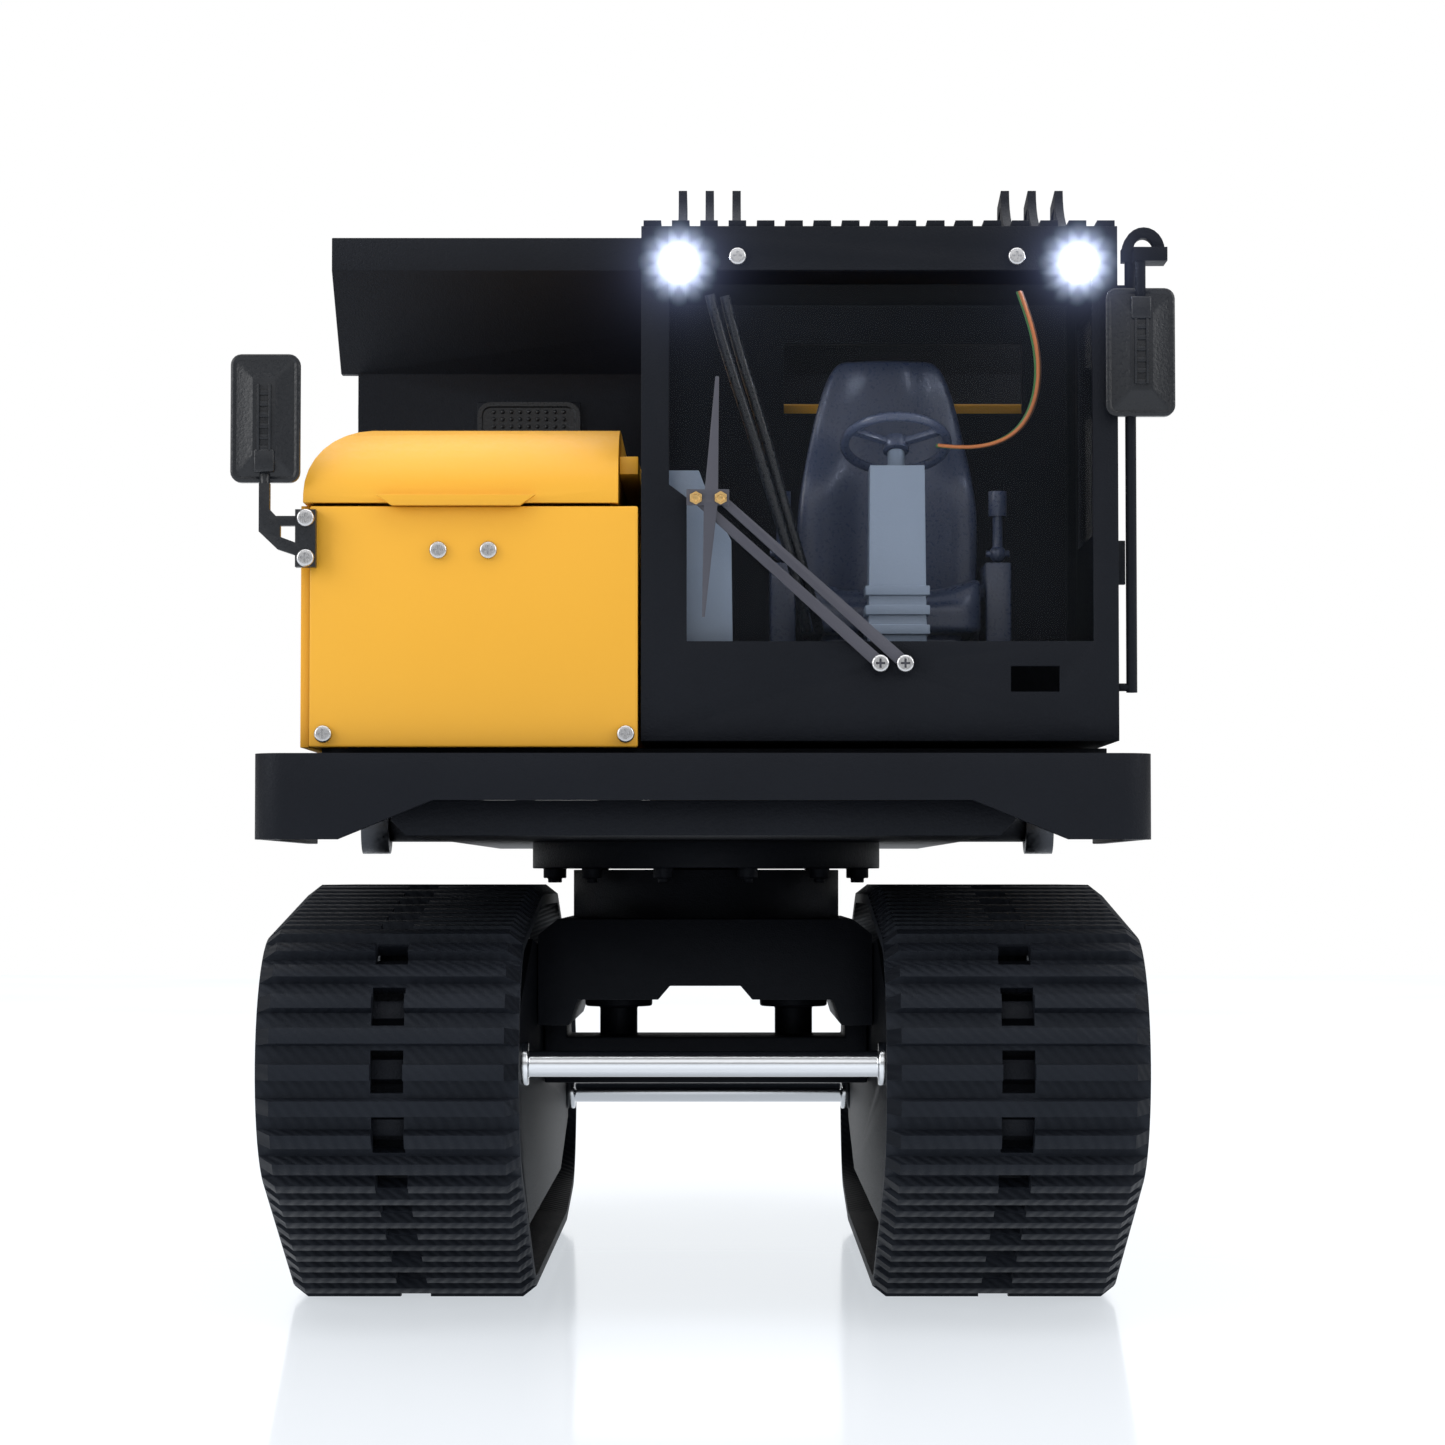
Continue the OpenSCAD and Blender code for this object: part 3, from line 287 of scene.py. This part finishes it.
def copyNode(name, newName):
    piece = nodes[name].copy()
    piece.data = nodes[name].data.copy()
    piece.parent = None
    for key in list(piece.keys()):
        del piece[key]
    piece.name = newName
    bpy.context.scene.collection.objects.link(piece)
    makeActive(piece)
    bpy.ops.object.mode_set(mode="EDIT")
    bpy.ops.mesh.select_all(action="SELECT")
    bpy.ops.mesh.remove_doubles(threshold=0.00001)
    bpy.ops.mesh.dissolve_limited(angle_limit=math.radians(1))
    bpy.ops.object.mode_set(mode="OBJECT")
    return piece


def standFor(piece, *names):
    wear(piece, finishes[slotOf[names[0]]])
    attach(piece, bodyOf[names[0]])
    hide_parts(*names)


# edge radius of each sheet, casting or moulding
edgeRadius = {
    "car_body": 0.8, "cross_beam": 0.6, "deck_frame": 0.5, "side_skirts": 0.5, "slew_flange": 0.3,
    "track_frame_left": 0.4, "track_frame_right": 0.4, "hood_shell": 0.5, "hood_front_panel": 0.4,
    "hood_lid": 0.7, "rear_bulkhead": 0.5, "cab_shell": 0.35, "cab_front_plate": 0.4, "roof_guard": 0.25,
    "cab_door": 0.35, "grab_rail": 0.2, "mirror_arm_left": 0.3, "wiper_arm_left": 0.2,
    "wiper_arm_right": 0.2, "dump_bed": 0.6, "lift_barrels": 0.4, "lift_rods": 0.3,
    "cross_axles": 0.4, "sprocket_left": 0.4, "sprocket_right": 0.4,
    "idler_left": 0.5, "idler_right": 0.5, "battery_pack": 2.0, "hydraulic_pump": 0.8, "slew_motor": 0.5,
    "travel_motors": 0.6,
}
for side in ("left", "right"):
    for number in range(1, 5):
        edgeRadius[f"road_wheel_{side}_{number}"] = 0.5
    for number in range(1, 3):
        edgeRadius[f"top_roller_{side}_{number}"] = 0.4
for name, radius in edgeRadius.items():
    piece = copyNode(name, name + "_finished")
    roundEdges(piece, radius * mm)
    standFor(piece, name)
    if name.startswith(("road_wheel", "top_roller")):
        wear(piece, finishes["dark_steel"])
    if name.startswith(("sprocket", "idler", "track_frame")):
        wear(piece, finishes["black_coat"])
print("plates, castings and wheels rounded")

# door window: smoked
smoked = Finish("smokedWindow", (0.006, 0.008, 0.012), 0.06)
smoked.set(Alpha=smoked.range(smoked.noise(20, 3), 0.86, 0.92))
wear(nodes["door_glass"], smoked.material)

# column and console in the paler plastic, soft corners on the moulding
column = copyNode("steering_column", "steering_column_finished")
roundEdges(column, 0.7 * mm, 3)
standFor(column, "steering_column")
wear(column, paleSlate)

# belts: bar ends cut back to a slope
beltShape = {"slope": 3.2, "barTop": 4.2, "edge": 0.35}


def beltPath(side):
    wheels = [f"road_wheel_{side}_1", f"road_wheel_{side}_4", f"idler_{side}", f"sprocket_{side}",
              f"top_roller_{side}_1", f"top_roller_{side}_2"]
    rounds = []
    for name in wheels:
        low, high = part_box(name)
        rounds.append(((low.y + high.y) / 2, (low.z + high.z) / 2, (high.z - low.z) / 2))
    reach = []
    for degree in range(0, 360, 2):
        across, up = math.cos(math.radians(degree)), math.sin(math.radians(degree))
        reach.append((across, up, max(y * across + z * up + r for y, z, r in rounds)))
    return reach


def makeBelt(side):
    piece = copyNode(f"track_{side}", f"belt_{side}")
    reach = beltPath(side)
    low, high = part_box(f"track_{side}")
    middle = (low.x + high.x) / 2
    for corner in piece.data.vertices:
        spot = corner.co
        if min(abs(spot.x - low.x), abs(spot.x - high.x)) > 0.2 * mm:
            continue
        height = max(spot.y * across + spot.z * up - far for across, up, far in reach)
        if height > beltShape["barTop"] * mm:
            spot.x += math.copysign(beltShape["slope"] * mm, middle - spot.x)
    roundEdges(piece, beltShape["edge"] * mm, 2, 30)
    standFor(piece, f"track_{side}")


makeBelt("left")
makeBelt("right")
print("belts done")

# screws: pan heads with a cross recess
screwShape = {"radius": 2.0, "height": 1.3, "dome": 0.55, "slotLength": 2.1, "slotWidth": 0.5, "slotDepth": 0.7}


def editFaces(piece, wanted):
    makeActive(piece)
    bpy.ops.object.mode_set(mode="EDIT")
    bpy.ops.mesh.select_mode(type="FACE")
    bpy.ops.mesh.select_all(action="DESELECT")
    bpy.ops.object.mode_set(mode="OBJECT")
    for face in piece.data.polygons:
        face.select = wanted(face)
    bpy.ops.object.mode_set(mode="EDIT")


def editEdges(piece, wanted):
    makeActive(piece)
    bpy.ops.object.mode_set(mode="EDIT")
    bpy.ops.mesh.select_mode(type="EDGE")
    bpy.ops.mesh.select_all(action="DESELECT")
    bpy.ops.object.mode_set(mode="OBJECT")
    corners = piece.data.vertices
    for edge in piece.data.edges:
        edge.select = wanted(*[corners[i].co for i in edge.vertices])
    bpy.ops.object.mode_set(mode="EDIT")


def leaveEdit():
    bpy.ops.object.mode_set(mode="OBJECT")


def carve(piece, cutter):
    addModifier(piece, "BOOLEAN", operation="DIFFERENCE", object=cutter, solver="EXACT")
    bpy.data.objects.remove(cutter)


def joinPieces(pieces):
    makeActive(*pieces)
    bpy.ops.object.join()
    return bpy.context.object


def makeScrewHead(spot, height=None):
    height = height or screwShape["height"] * mm
    deselectAll()
    bpy.ops.mesh.primitive_cylinder_add(vertices=28, radius=screwShape["radius"] * mm, depth=height,
                                        location=spot, rotation=(math.radians(90), 0, 0))
    head = bpy.context.object
    bpy.ops.object.transform_apply(location=True, rotation=True, scale=True)
    front = spot[1] - height / 2
    editEdges(head, lambda a, b: max(abs(a.y - front), abs(b.y - front)) < 0.01 * mm)
    bpy.ops.mesh.bevel(offset=screwShape["dome"] * mm, segments=4)
    leaveEdit()
    half, thin, deep = (screwShape[k] * mm for k in ("slotLength", "slotWidth", "slotDepth"))
    for across, up in ((half / 2, thin / 2), (thin / 2, half / 2)):
        carve(head, startBlock((spot[0] - across, front - deep, spot[2] - up),
                               (spot[0] + across, front + deep, spot[2] + up)))
    return head


def makeScrews():
    marks = copyNode("panel_screws", "marks")
    bpy.ops.object.mode_set(mode="EDIT")
    bpy.ops.mesh.select_all(action="SELECT")
    bpy.ops.mesh.separate(type="LOOSE")
    leaveEdit()
    heads = []
    for mark in list(bpy.context.selected_objects):
        points = [corner.co for corner in mark.data.vertices]
        spot = [(min(p[i] for p in points) + max(p[i] for p in points)) / 2 for i in range(3)]
        bpy.data.objects.remove(mark)
        heads.append(makeScrewHead(spot))
    screws = joinPieces(heads)
    screws.name = "pan_head_screws"
    bpy.ops.object.shade_smooth_by_angle(angle=math.radians(35))
    standFor(screws, "panel_screws")


makeScrews()

# bumper: corners rolled back from the front face
bumperShape = {"roll": 7.0, "steps": 7, "edge": 0.6}


def makeBumper():
    low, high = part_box("front_bumper")
    bumper = copyNode("front_bumper", "front_bumper_finished")
    near = 0.05 * mm
    editEdges(bumper, lambda a, b: abs(a.z - b.z) > 4 * mm and max(a.y, b.y) < low.y + near and
              min(abs(a.x), abs(b.x)) > high.x - near)
    bpy.ops.mesh.bevel(offset=bumperShape["roll"] * mm, segments=bumperShape["steps"])
    leaveEdit()
    roundEdges(bumper, bumperShape["edge"] * mm)
    standFor(bumper, "front_bumper")


makeBumper()

# mirrors: a rimmed plate, a raised back that falls to the rim, and a ribbed clamp
mirrorShape = {"corner": 2.4, "rim": 1.3, "backHeight": 1.9, "backLength": 0.68, "backWidth": 0.4,
               "clampWidth": 3.2, "clampLength": 15, "ribs": 6}


def makeMirror(side):
    low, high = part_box(f"mirror_{side}")
    middle = (low + high) / 2
    face = high.y - 2.2 * mm
    plate = startBlock((low.x, face, low.z), (high.x, high.y, high.z))
    editEdges(plate, lambda a, b: abs(a.y - b.y) > 1 * mm)
    bpy.ops.mesh.bevel(offset=mirrorShape["corner"] * mm, segments=5)
    leaveEdit()
    editFaces(plate, lambda f: f.normal.y < -0.9)
    bpy.ops.mesh.inset(thickness=mirrorShape["rim"] * 0.5 * mm, depth=0.25 * mm)
    bpy.ops.mesh.inset(thickness=mirrorShape["rim"] * 0.5 * mm, depth=-0.35 * mm)
    bpy.ops.mesh.extrude_region_move(TRANSFORM_OT_translate={"value": (0, -mirrorShape["backHeight"] * mm, 0)})
    bpy.ops.transform.resize(value=(mirrorShape["backWidth"], 1, mirrorShape["backLength"]),
                             center_override=(middle.x, face, middle.z))
    leaveEdit()
    roundEdges(plate, 0.3 * mm, 2, 20)
    wide = mirrorShape["clampWidth"] * mm / 2
    long = mirrorShape["clampLength"] * mm / 2
    front = low.y + 0.25 * mm
    parts = [plate]
    for edge in (-wide, wide - 0.6 * mm):
        wall = startBlock((middle.x + edge, front, middle.z - long), (middle.x + edge + 0.6 * mm, face, middle.z + long))
        roundEdges(wall, 0.15 * mm)
        parts.append(wall)
    step = 2 * long / mirrorShape["ribs"]
    for number in range(mirrorShape["ribs"]):
        base = middle.z - long + number * step
        rib = startBlock((middle.x - wide, front + 0.3 * mm, base), (middle.x + wide, face, base + 0.45 * step))
        roundEdges(rib, 0.15 * mm)
        parts.append(rib)
    knuckle = 1 if side == "right" else -1
    z = middle.z + knuckle * (9.8 * mm)
    collar = startBlock((middle.x - 2.4 * mm, low.y + 0.3 * mm, z - 2.6 * mm), (middle.x + 2.4 * mm, face, z + 2.6 * mm))
    roundEdges(collar, 0.6 * mm, 3)
    parts.append(collar)
    mirror = joinPieces(parts)
    mirror.name = f"mirror_{side}_head"
    standFor(mirror, f"mirror_{side}")


makeMirror("left")
makeMirror("right")
print("screws and mirrors done")

# seat: cushioned shell moulded in one, with bolsters, arm boxes and a base
seatShape = {"backWidth": 42, "topWidth": 0.62, "waistWidth": 0.96, "bolster": 5.0, "lean": 6.0}


def moveRows(piece, wanted, shift=(0, 0, 0), size=(1, 1, 1), center=(0, 0, 0)):
    makeActive(piece)
    bpy.ops.object.mode_set(mode="EDIT")
    bpy.ops.mesh.select_mode(type="VERT")
    bpy.ops.mesh.select_all(action="DESELECT")
    leaveEdit()
    for corner in piece.data.vertices:
        corner.select = wanted(corner.co)
    bpy.ops.object.mode_set(mode="EDIT")
    bpy.ops.transform.translate(value=shift)
    bpy.ops.transform.resize(value=size, center_override=center)
    leaveEdit()


def gridBlock(low, high, cuts):
    block = startBlock(low, high)
    bpy.ops.object.mode_set(mode="EDIT")
    bpy.ops.mesh.select_all(action="SELECT")
    bpy.ops.mesh.subdivide(number_cuts=cuts)
    leaveEdit()
    return block


def makeSeat():
    low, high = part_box("seat")
    middle = (low.x + high.x) / 2
    seatTop = high.z - 59 * mm
    backY = high.y - 9 * mm
    half = seatShape["backWidth"] * mm / 2
    back = gridBlock((middle - half, backY - 1 * mm, seatTop - 2 * mm), (middle + half, high.y, high.z), 5)
    height = high.z - seatTop
    for share, width in ((1.0, seatShape["topWidth"]), (0.83, 0.8), (0.66, 0.9), (0.5, 1.0), (0.33, 1.05), (0.16, 1.04)):
        level = seatTop - 2 * mm + share * (height + 2 * mm)
        moveRows(back, lambda p: abs(p.z - level) < 3 * mm, (0, 0, 0), (width, 1, 1), (middle, backY, level))
    # side bolsters stand forward of the middle of the back
    moveRows(back, lambda p: abs(p.x - middle) > 0.62 * half and p.y < backY + 2 * mm and p.z < seatTop + 0.6 * height,
             (0, -seatShape["bolster"] * mm, 0))
    moveRows(back, lambda p: abs(p.x - middle) < 0.4 * half and p.y < backY + 2 * mm and p.z > seatTop + 0.7 * height,
             (0, -2.2 * mm, 0))
    addModifier(back, "SUBSURF", levels=2, render_levels=2)
    cushion = gridBlock((middle - half, low.y, seatTop - 10 * mm), (middle + half, backY + 2 * mm, seatTop + 1 * mm), 4)
    moveRows(cushion, lambda p: abs(p.x - middle) > 0.7 * half and p.z > seatTop - 2 * mm, (0, 0, 3.4 * mm))
    moveRows(cushion, lambda p: p.y < low.y + 2 * mm and p.z > seatTop - 2 * mm, (0, 2.0 * mm, -1.6 * mm))
    addModifier(cushion, "SUBSURF", levels=2, render_levels=2)
    parts = [back, cushion]
    base = startBlock((middle - 13 * mm, low.y + 8 * mm, low.z), (middle + 13 * mm, backY + 4 * mm, seatTop - 8 * mm))
    roundEdges(base, 1.5 * mm, 3)
    parts.append(base)
    plinth = startBlock((middle - 17 * mm, low.y + 5 * mm, seatTop - 20 * mm), (middle + 17 * mm, backY, seatTop - 9 * mm))
    roundEdges(plinth, 2.5 * mm, 3)
    parts.append(plinth)
    for side in (-1, 1):
        inner, outer = sorted((middle + side * 22.7 * mm, middle + side * 28.8 * mm))
        arm = startBlock((inner, backY - 22 * mm, seatTop - 16 * mm), (outer, backY + 1 * mm, seatTop + 8 * mm))
        editFaces(arm, lambda f: f.normal.z > 0.9)
        bpy.ops.mesh.inset(thickness=0.8 * mm, depth=-0.5 * mm)
        leaveEdit()
        roundEdges(arm, 0.7 * mm, 3)
        parts.append(arm)
        reach = sorted((middle + side * 19 * mm, middle + side * 23.5 * mm))
        deselectAll()
        bpy.ops.mesh.primitive_cylinder_add(vertices=24, radius=2.1 * mm, depth=reach[1] - reach[0],
                                            location=(sum(reach) / 2, backY - 14 * mm, seatTop + 1 * mm),
                                            rotation=(0, math.radians(90), 0))
        bar = bpy.context.object
        bpy.ops.object.transform_apply(location=True, rotation=True, scale=True)
        roundEdges(bar, 0.4 * mm, 2)
        parts.append(bar)
    seat = joinPieces(parts)
    seat.name = "operator_seat"
    bpy.ops.object.shade_smooth_by_angle(angle=math.radians(50))
    standFor(seat, "seat")


makeSeat()

# steering wheel and sticks
for name in ("steering_wheel", "joystick_left", "joystick_right"):
    piece = copyNode(name, name + "_finished")
    roundEdges(piece, 0.25 * mm, 2, 40)
    standFor(piece, name)
print("seat and controls done")

# three-wire lead of the cab lamps
leadShape = {"wire": 0.42, "spread": 0.48,
             "points": [(72, -204, 236), (74, -203, 231), (76, -202, 225), (77, -200, 218), (76, -198, 211),
                        (73, -196, 205), (68, -195, 202), (61, -194, 201), (54, -193, 202)]}


def makeLead():
    route = [Vector(p) * mm for p in leadShape["points"]]
    strands = []
    for number, material in enumerate((finishes["lead_insulation"], leadBrown, leadGreen)):
        deselectAll()
        bpy.ops.curve.primitive_nurbs_path_add(radius=0.01, location=(0, 0, 0))
        strand = bpy.context.object
        spline = strand.data.splines[0]
        spline.points.add(len(route) - len(spline.points))
        for spot, knot in zip(route, spline.points):
            turn = math.radians(120 * number - 90)
            aside = Vector((math.cos(turn), math.sin(turn), 0)) * leadShape["spread"] * mm
            knot.co = (*(spot + aside), 1)
        spline.use_endpoint_u = True
        strand.data.bevel_depth = leadShape["wire"] * mm
        strand.data.bevel_resolution = 3
        strand.data.use_fill_caps = True
        bpy.ops.object.convert(target="MESH")
        wear(strand, material)
        strands.append(strand)
    lead = joinPieces(strands)
    lead.name = "lamp_lead_wires"
    bpy.ops.object.shade_smooth()
    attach(lead, "upper")
    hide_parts("light_lead")


makeLead()

# wiper: joint nuts and the rubber strip of the blade
wiperShape = {"nut": 1.55, "nutDepth": 0.9}


def makeWiper():
    low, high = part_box("wiper_blade")
    leftLow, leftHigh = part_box("wiper_arm_left")
    rightLow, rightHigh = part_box("wiper_arm_right")
    blade = copyNode("wiper_blade", "wiper_blade_finished")
    roundEdges(blade, 0.12 * mm, 2, 30)
    standFor(blade, "wiper_blade")
    for body, arm in (("wiper_arm_left", (leftLow, leftHigh)), ("wiper_arm_right", (rightLow, rightHigh))):
        joint = Vector((arm[0].x + 1.0 * mm, low.y - 0.2 * mm, arm[1].z - 1.0 * mm))
        deselectAll()
        bpy.ops.mesh.primitive_cylinder_add(vertices=6, radius=wiperShape["nut"] * mm, depth=wiperShape["nutDepth"] * mm,
                                            location=joint, rotation=(math.radians(90), 0, 0))
        nut = bpy.context.object
        bpy.ops.object.transform_apply(location=True, rotation=True, scale=True)
        editFaces(nut, lambda f: f.normal.y < -0.9)
        bpy.ops.mesh.inset(thickness=0.55 * mm)
        bpy.ops.mesh.inset(thickness=0.1 * mm, depth=-0.35 * mm)
        leaveEdit()
        roundEdges(nut, 0.12 * mm, 2, 30)
        settle(nut, f"{body}_nut", brass, body)
        pivot = (arm[1].x - 1.9 * mm, arm[0].y + 0.5 * mm, arm[0].z + 1.9 * mm)
        head = makeScrewHead(pivot, 1.1 * mm)
        settle(head, f"{body}_pivot_screw", finishes["steel"], body)


makeWiper()
print("lead and wiper done")

# tread pad on the front wall of the dump bed
padShape = {"reach": (-60, -33), "height": (216.5, 227.5), "front": -71.5, "stud": 0.55, "columns": 9, "rows": 4}


def makePad():
    (left, right), (bottom, top) = padShape["reach"], padShape["height"]
    front = padShape["front"] * mm
    plate = startBlock((left * mm, front - 0.5 * mm, bottom * mm), (right * mm, front + 0.3 * mm, top * mm))
    editEdges(plate, lambda a, b: abs(a.y - b.y) > 0.5 * mm)
    bpy.ops.mesh.bevel(offset=3.5 * mm, segments=5)
    leaveEdit()
    editFaces(plate, lambda f: f.normal.y < -0.9)
    bpy.ops.mesh.inset(thickness=1.1 * mm, depth=0.0)
    bpy.ops.mesh.inset(thickness=0.4 * mm, depth=-0.35 * mm)
    leaveEdit()
    parts = [plate]
    for column in range(padShape["columns"]):
        for row in range(padShape["rows"]):
            spot = ((left + 4.3 + column * (right - left - 8.6) / (padShape["columns"] - 1)) * mm, front - 0.3 * mm,
                    (bottom + 2.6 + row * (top - bottom - 5.2) / (padShape["rows"] - 1)) * mm)
            deselectAll()
            bpy.ops.mesh.primitive_uv_sphere_add(segments=12, ring_count=8, radius=padShape["stud"] * mm, location=spot)
            bpy.ops.object.transform_apply(location=True, rotation=True, scale=True)
            parts.append(bpy.context.object)
    pad = joinPieces(parts)
    bpy.ops.object.shade_smooth_by_angle(angle=math.radians(40))
    settle(pad, "tread_pad", finishes["mirror_plastic"], bodyOf["dump_bed"])


makePad()

# ribs on the sides of the dump bed, each with two bolts
ribShape = {"places": (-45, 0, 105), "inner": 91.2, "outer": 93.6, "half": 3.2, "low": 154, "high": 225}


def makeRibs():
    parts = []
    for side in (-1, 1):
        reach = sorted((side * ribShape["inner"] * mm, side * ribShape["outer"] * mm))
        for place in ribShape["places"]:
            rib = startBlock((reach[0], (place - ribShape["half"]) * mm, ribShape["low"] * mm),
                             (reach[1], (place + ribShape["half"]) * mm, ribShape["high"] * mm))
            outer = side * ribShape["outer"] * mm
            moveRows(rib, lambda p: abs(p.x - outer) < 0.1 * mm, size=(1, 0.62, 0.955),
                     center=(outer, place * mm, (ribShape["low"] + ribShape["high"]) / 2 * mm))
            roundEdges(rib, 0.5 * mm)
            parts.append(rib)
            for height in (ribShape["low"] + 9, ribShape["high"] - 9):
                deselectAll()
                bpy.ops.mesh.primitive_cylinder_add(vertices=6, radius=1.7 * mm, depth=1.6 * mm,
                                                    location=(outer + side * 0.3 * mm, place * mm, height * mm),
                                                    rotation=(0, math.radians(90), 0))
                bolt = bpy.context.object
                bpy.ops.object.transform_apply(location=True, rotation=True, scale=True)
                roundEdges(bolt, 0.25 * mm)
                parts.append(bolt)
    settle(joinPieces(parts), "bed_ribs", finishes["black_coat"], bodyOf["dump_bed"])


makeRibs()

# two hoses hanging inside the cab
hoseShape = {"radius": 1.25, "runs": (
    [(1.5, -199, 236), (3.5, -198, 228), (8, -196, 214), (13, -194, 200), (17, -190, 186), (22, -184, 172), (24, -180, 160)],
    [(5, -197, 236), (7, -196, 227), (11.5, -194, 213), (16, -192, 199), (19.5, -188, 185), (24.5, -182, 171), (27, -177, 160)])}


def makeHoses():
    hoses = []
    for points in hoseShape["runs"]:
        deselectAll()
        bpy.ops.curve.primitive_nurbs_path_add(radius=0.01, location=(0, 0, 0))
        hose = bpy.context.object
        spline = hose.data.splines[0]
        spline.points.add(len(points) - len(spline.points))
        for point, knot in zip(points, spline.points):
            knot.co = (*(Vector(point) * mm), 1)
        spline.use_endpoint_u = True
        hose.data.bevel_depth = hoseShape["radius"] * mm
        hose.data.bevel_resolution = 5
        hose.data.use_fill_caps = True
        bpy.ops.object.convert(target="MESH")
        hoses.append(bpy.context.object)
    hoses = joinPieces(hoses)
    bpy.ops.object.shade_smooth_by_angle(angle=math.radians(40))
    settle(hoses, "cab_hoses", finishes["mirror_plastic"], "upper")


makeHoses()
print("pad and hoses done")

# lamps: a lens with its bezel
lampShape = {"bezel": 3.3, "lens": 2.5}


def makeLamps():
    low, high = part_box("led_lamps")
    height = (low.z + high.z) / 2
    lenses = []
    for x in (low.x + 3.2 * mm, high.x - 3.2 * mm):
        deselectAll()
        bpy.ops.mesh.primitive_uv_sphere_add(segments=32, ring_count=16, radius=lampShape["lens"] * mm,
                                             location=(x, low.y + 1.5 * mm, height), scale=(1, 0.6, 1))
        lens = bpy.context.object
        bpy.ops.object.transform_apply(location=True, rotation=True, scale=True)
        bpy.ops.object.shade_smooth()
        lenses.append(lens)
        deselectAll()
        bpy.ops.mesh.primitive_cylinder_add(vertices=32, radius=2.4 * mm, depth=5 * mm,
                                            location=(x, low.y + 4.2 * mm, height), rotation=(math.radians(90), 0, 0))
        barrel = bpy.context.object
        bpy.ops.object.transform_apply(location=True, rotation=True, scale=True)
        lenses.append(barrel)
    lamps = joinPieces(lenses)
    lamps.name = "lit_lamps"
    standFor(lamps, "led_lamps")


makeLamps()
print("lamps done")

# floor, light and background
studio = {"floor": 6.0, "key": 1.5, "fill": 0.6}


def makeFloor():
    deselectAll()
    bpy.ops.mesh.primitive_plane_add(size=studio["floor"], location=(0, 0, 0))
    floor = bpy.context.object
    floor.name = "floor"
    finish = Finish("paleFloor", (0.42, 0.43, 0.45), 0.12, Specular_IOR_Level=0.5,
                    Emission_Color=(0.9, 0.95, 1.0, 1), Emission_Strength=0.61)
    finish.set(Roughness=finish.range(finish.noise(3, 2), 0.06, 0.14))
    wear(floor, finish.material)


def makeLight(name, place, turn, size, power):
    deselectAll()
    bpy.ops.object.light_add(type="AREA", location=place, rotation=[math.radians(t) for t in turn])
    light = bpy.context.object
    light.name = name
    light.data.shape = "RECTANGLE"
    light.data.size, light.data.size_y = size
    light.data.energy = power


makeFloor()
makeLight("topBox", (0, -0.1, 1.3), (0, 0, 0), (1.6, 1.6), 17)
makeLight("leftBox", (-1.3, -0.9, 0.7), (70, 0, -55), (0.9, 1.1), 11)
makeLight("rightBox", (1.3, -0.8, 0.8), (68, 0, 58), (0.8, 1.0), 8)
makeLight("frontBox", (0, -1.8, 0.9), (66, 0, 0), (1.6, 0.8), 3)

world = bpy.data.worlds.new("studioWhite")
bpy.context.scene.world = world
world.use_nodes = True
sky = world.node_tree
seen = sky.nodes.new("ShaderNodeLightPath")
strength = sky.nodes.new("ShaderNodeMapRange")
strength.inputs["To Min"].default_value = 0.5
strength.inputs["To Max"].default_value = 1.0
sky.links.new(seen.outputs["Is Camera Ray"], strength.inputs["Value"])
sky.nodes["Background"].inputs["Color"].default_value = (1, 1, 1, 1)
sky.links.new(strength.outputs[0], sky.nodes["Background"].inputs["Strength"])
bpy.context.scene.view_settings.view_transform = "Standard"
print("studio done")

# soft glow and rays round the lit lamps
glowShape = {"FOG_GLOW": {"Threshold": 3.0, "Strength": 0.32, "Size": 0.3, "Tint": (0.62, 0.68, 1.0, 1)},
             "STREAKS": {"Threshold": 3.0, "Strength": 0.05, "Streaks": 12, "Iterations": 2, "Fade": 0.88}}


def addGlow():
    bpy.context.scene.use_nodes = True
    picture = bpy.context.scene.node_tree
    picture.nodes.clear()
    last = picture.nodes.new("CompositorNodeRLayers").outputs["Image"]
    for kind, values in glowShape.items():
        glare = picture.nodes.new("CompositorNodeGlare")
        glare.glare_type = kind
        for key, value in values.items():
            glare.inputs[key].default_value = value
        picture.links.new(last, glare.inputs["Image"])
        last = glare.outputs["Image"]
    picture.links.new(last, picture.nodes.new("CompositorNodeComposite").inputs["Image"])


addGlow()
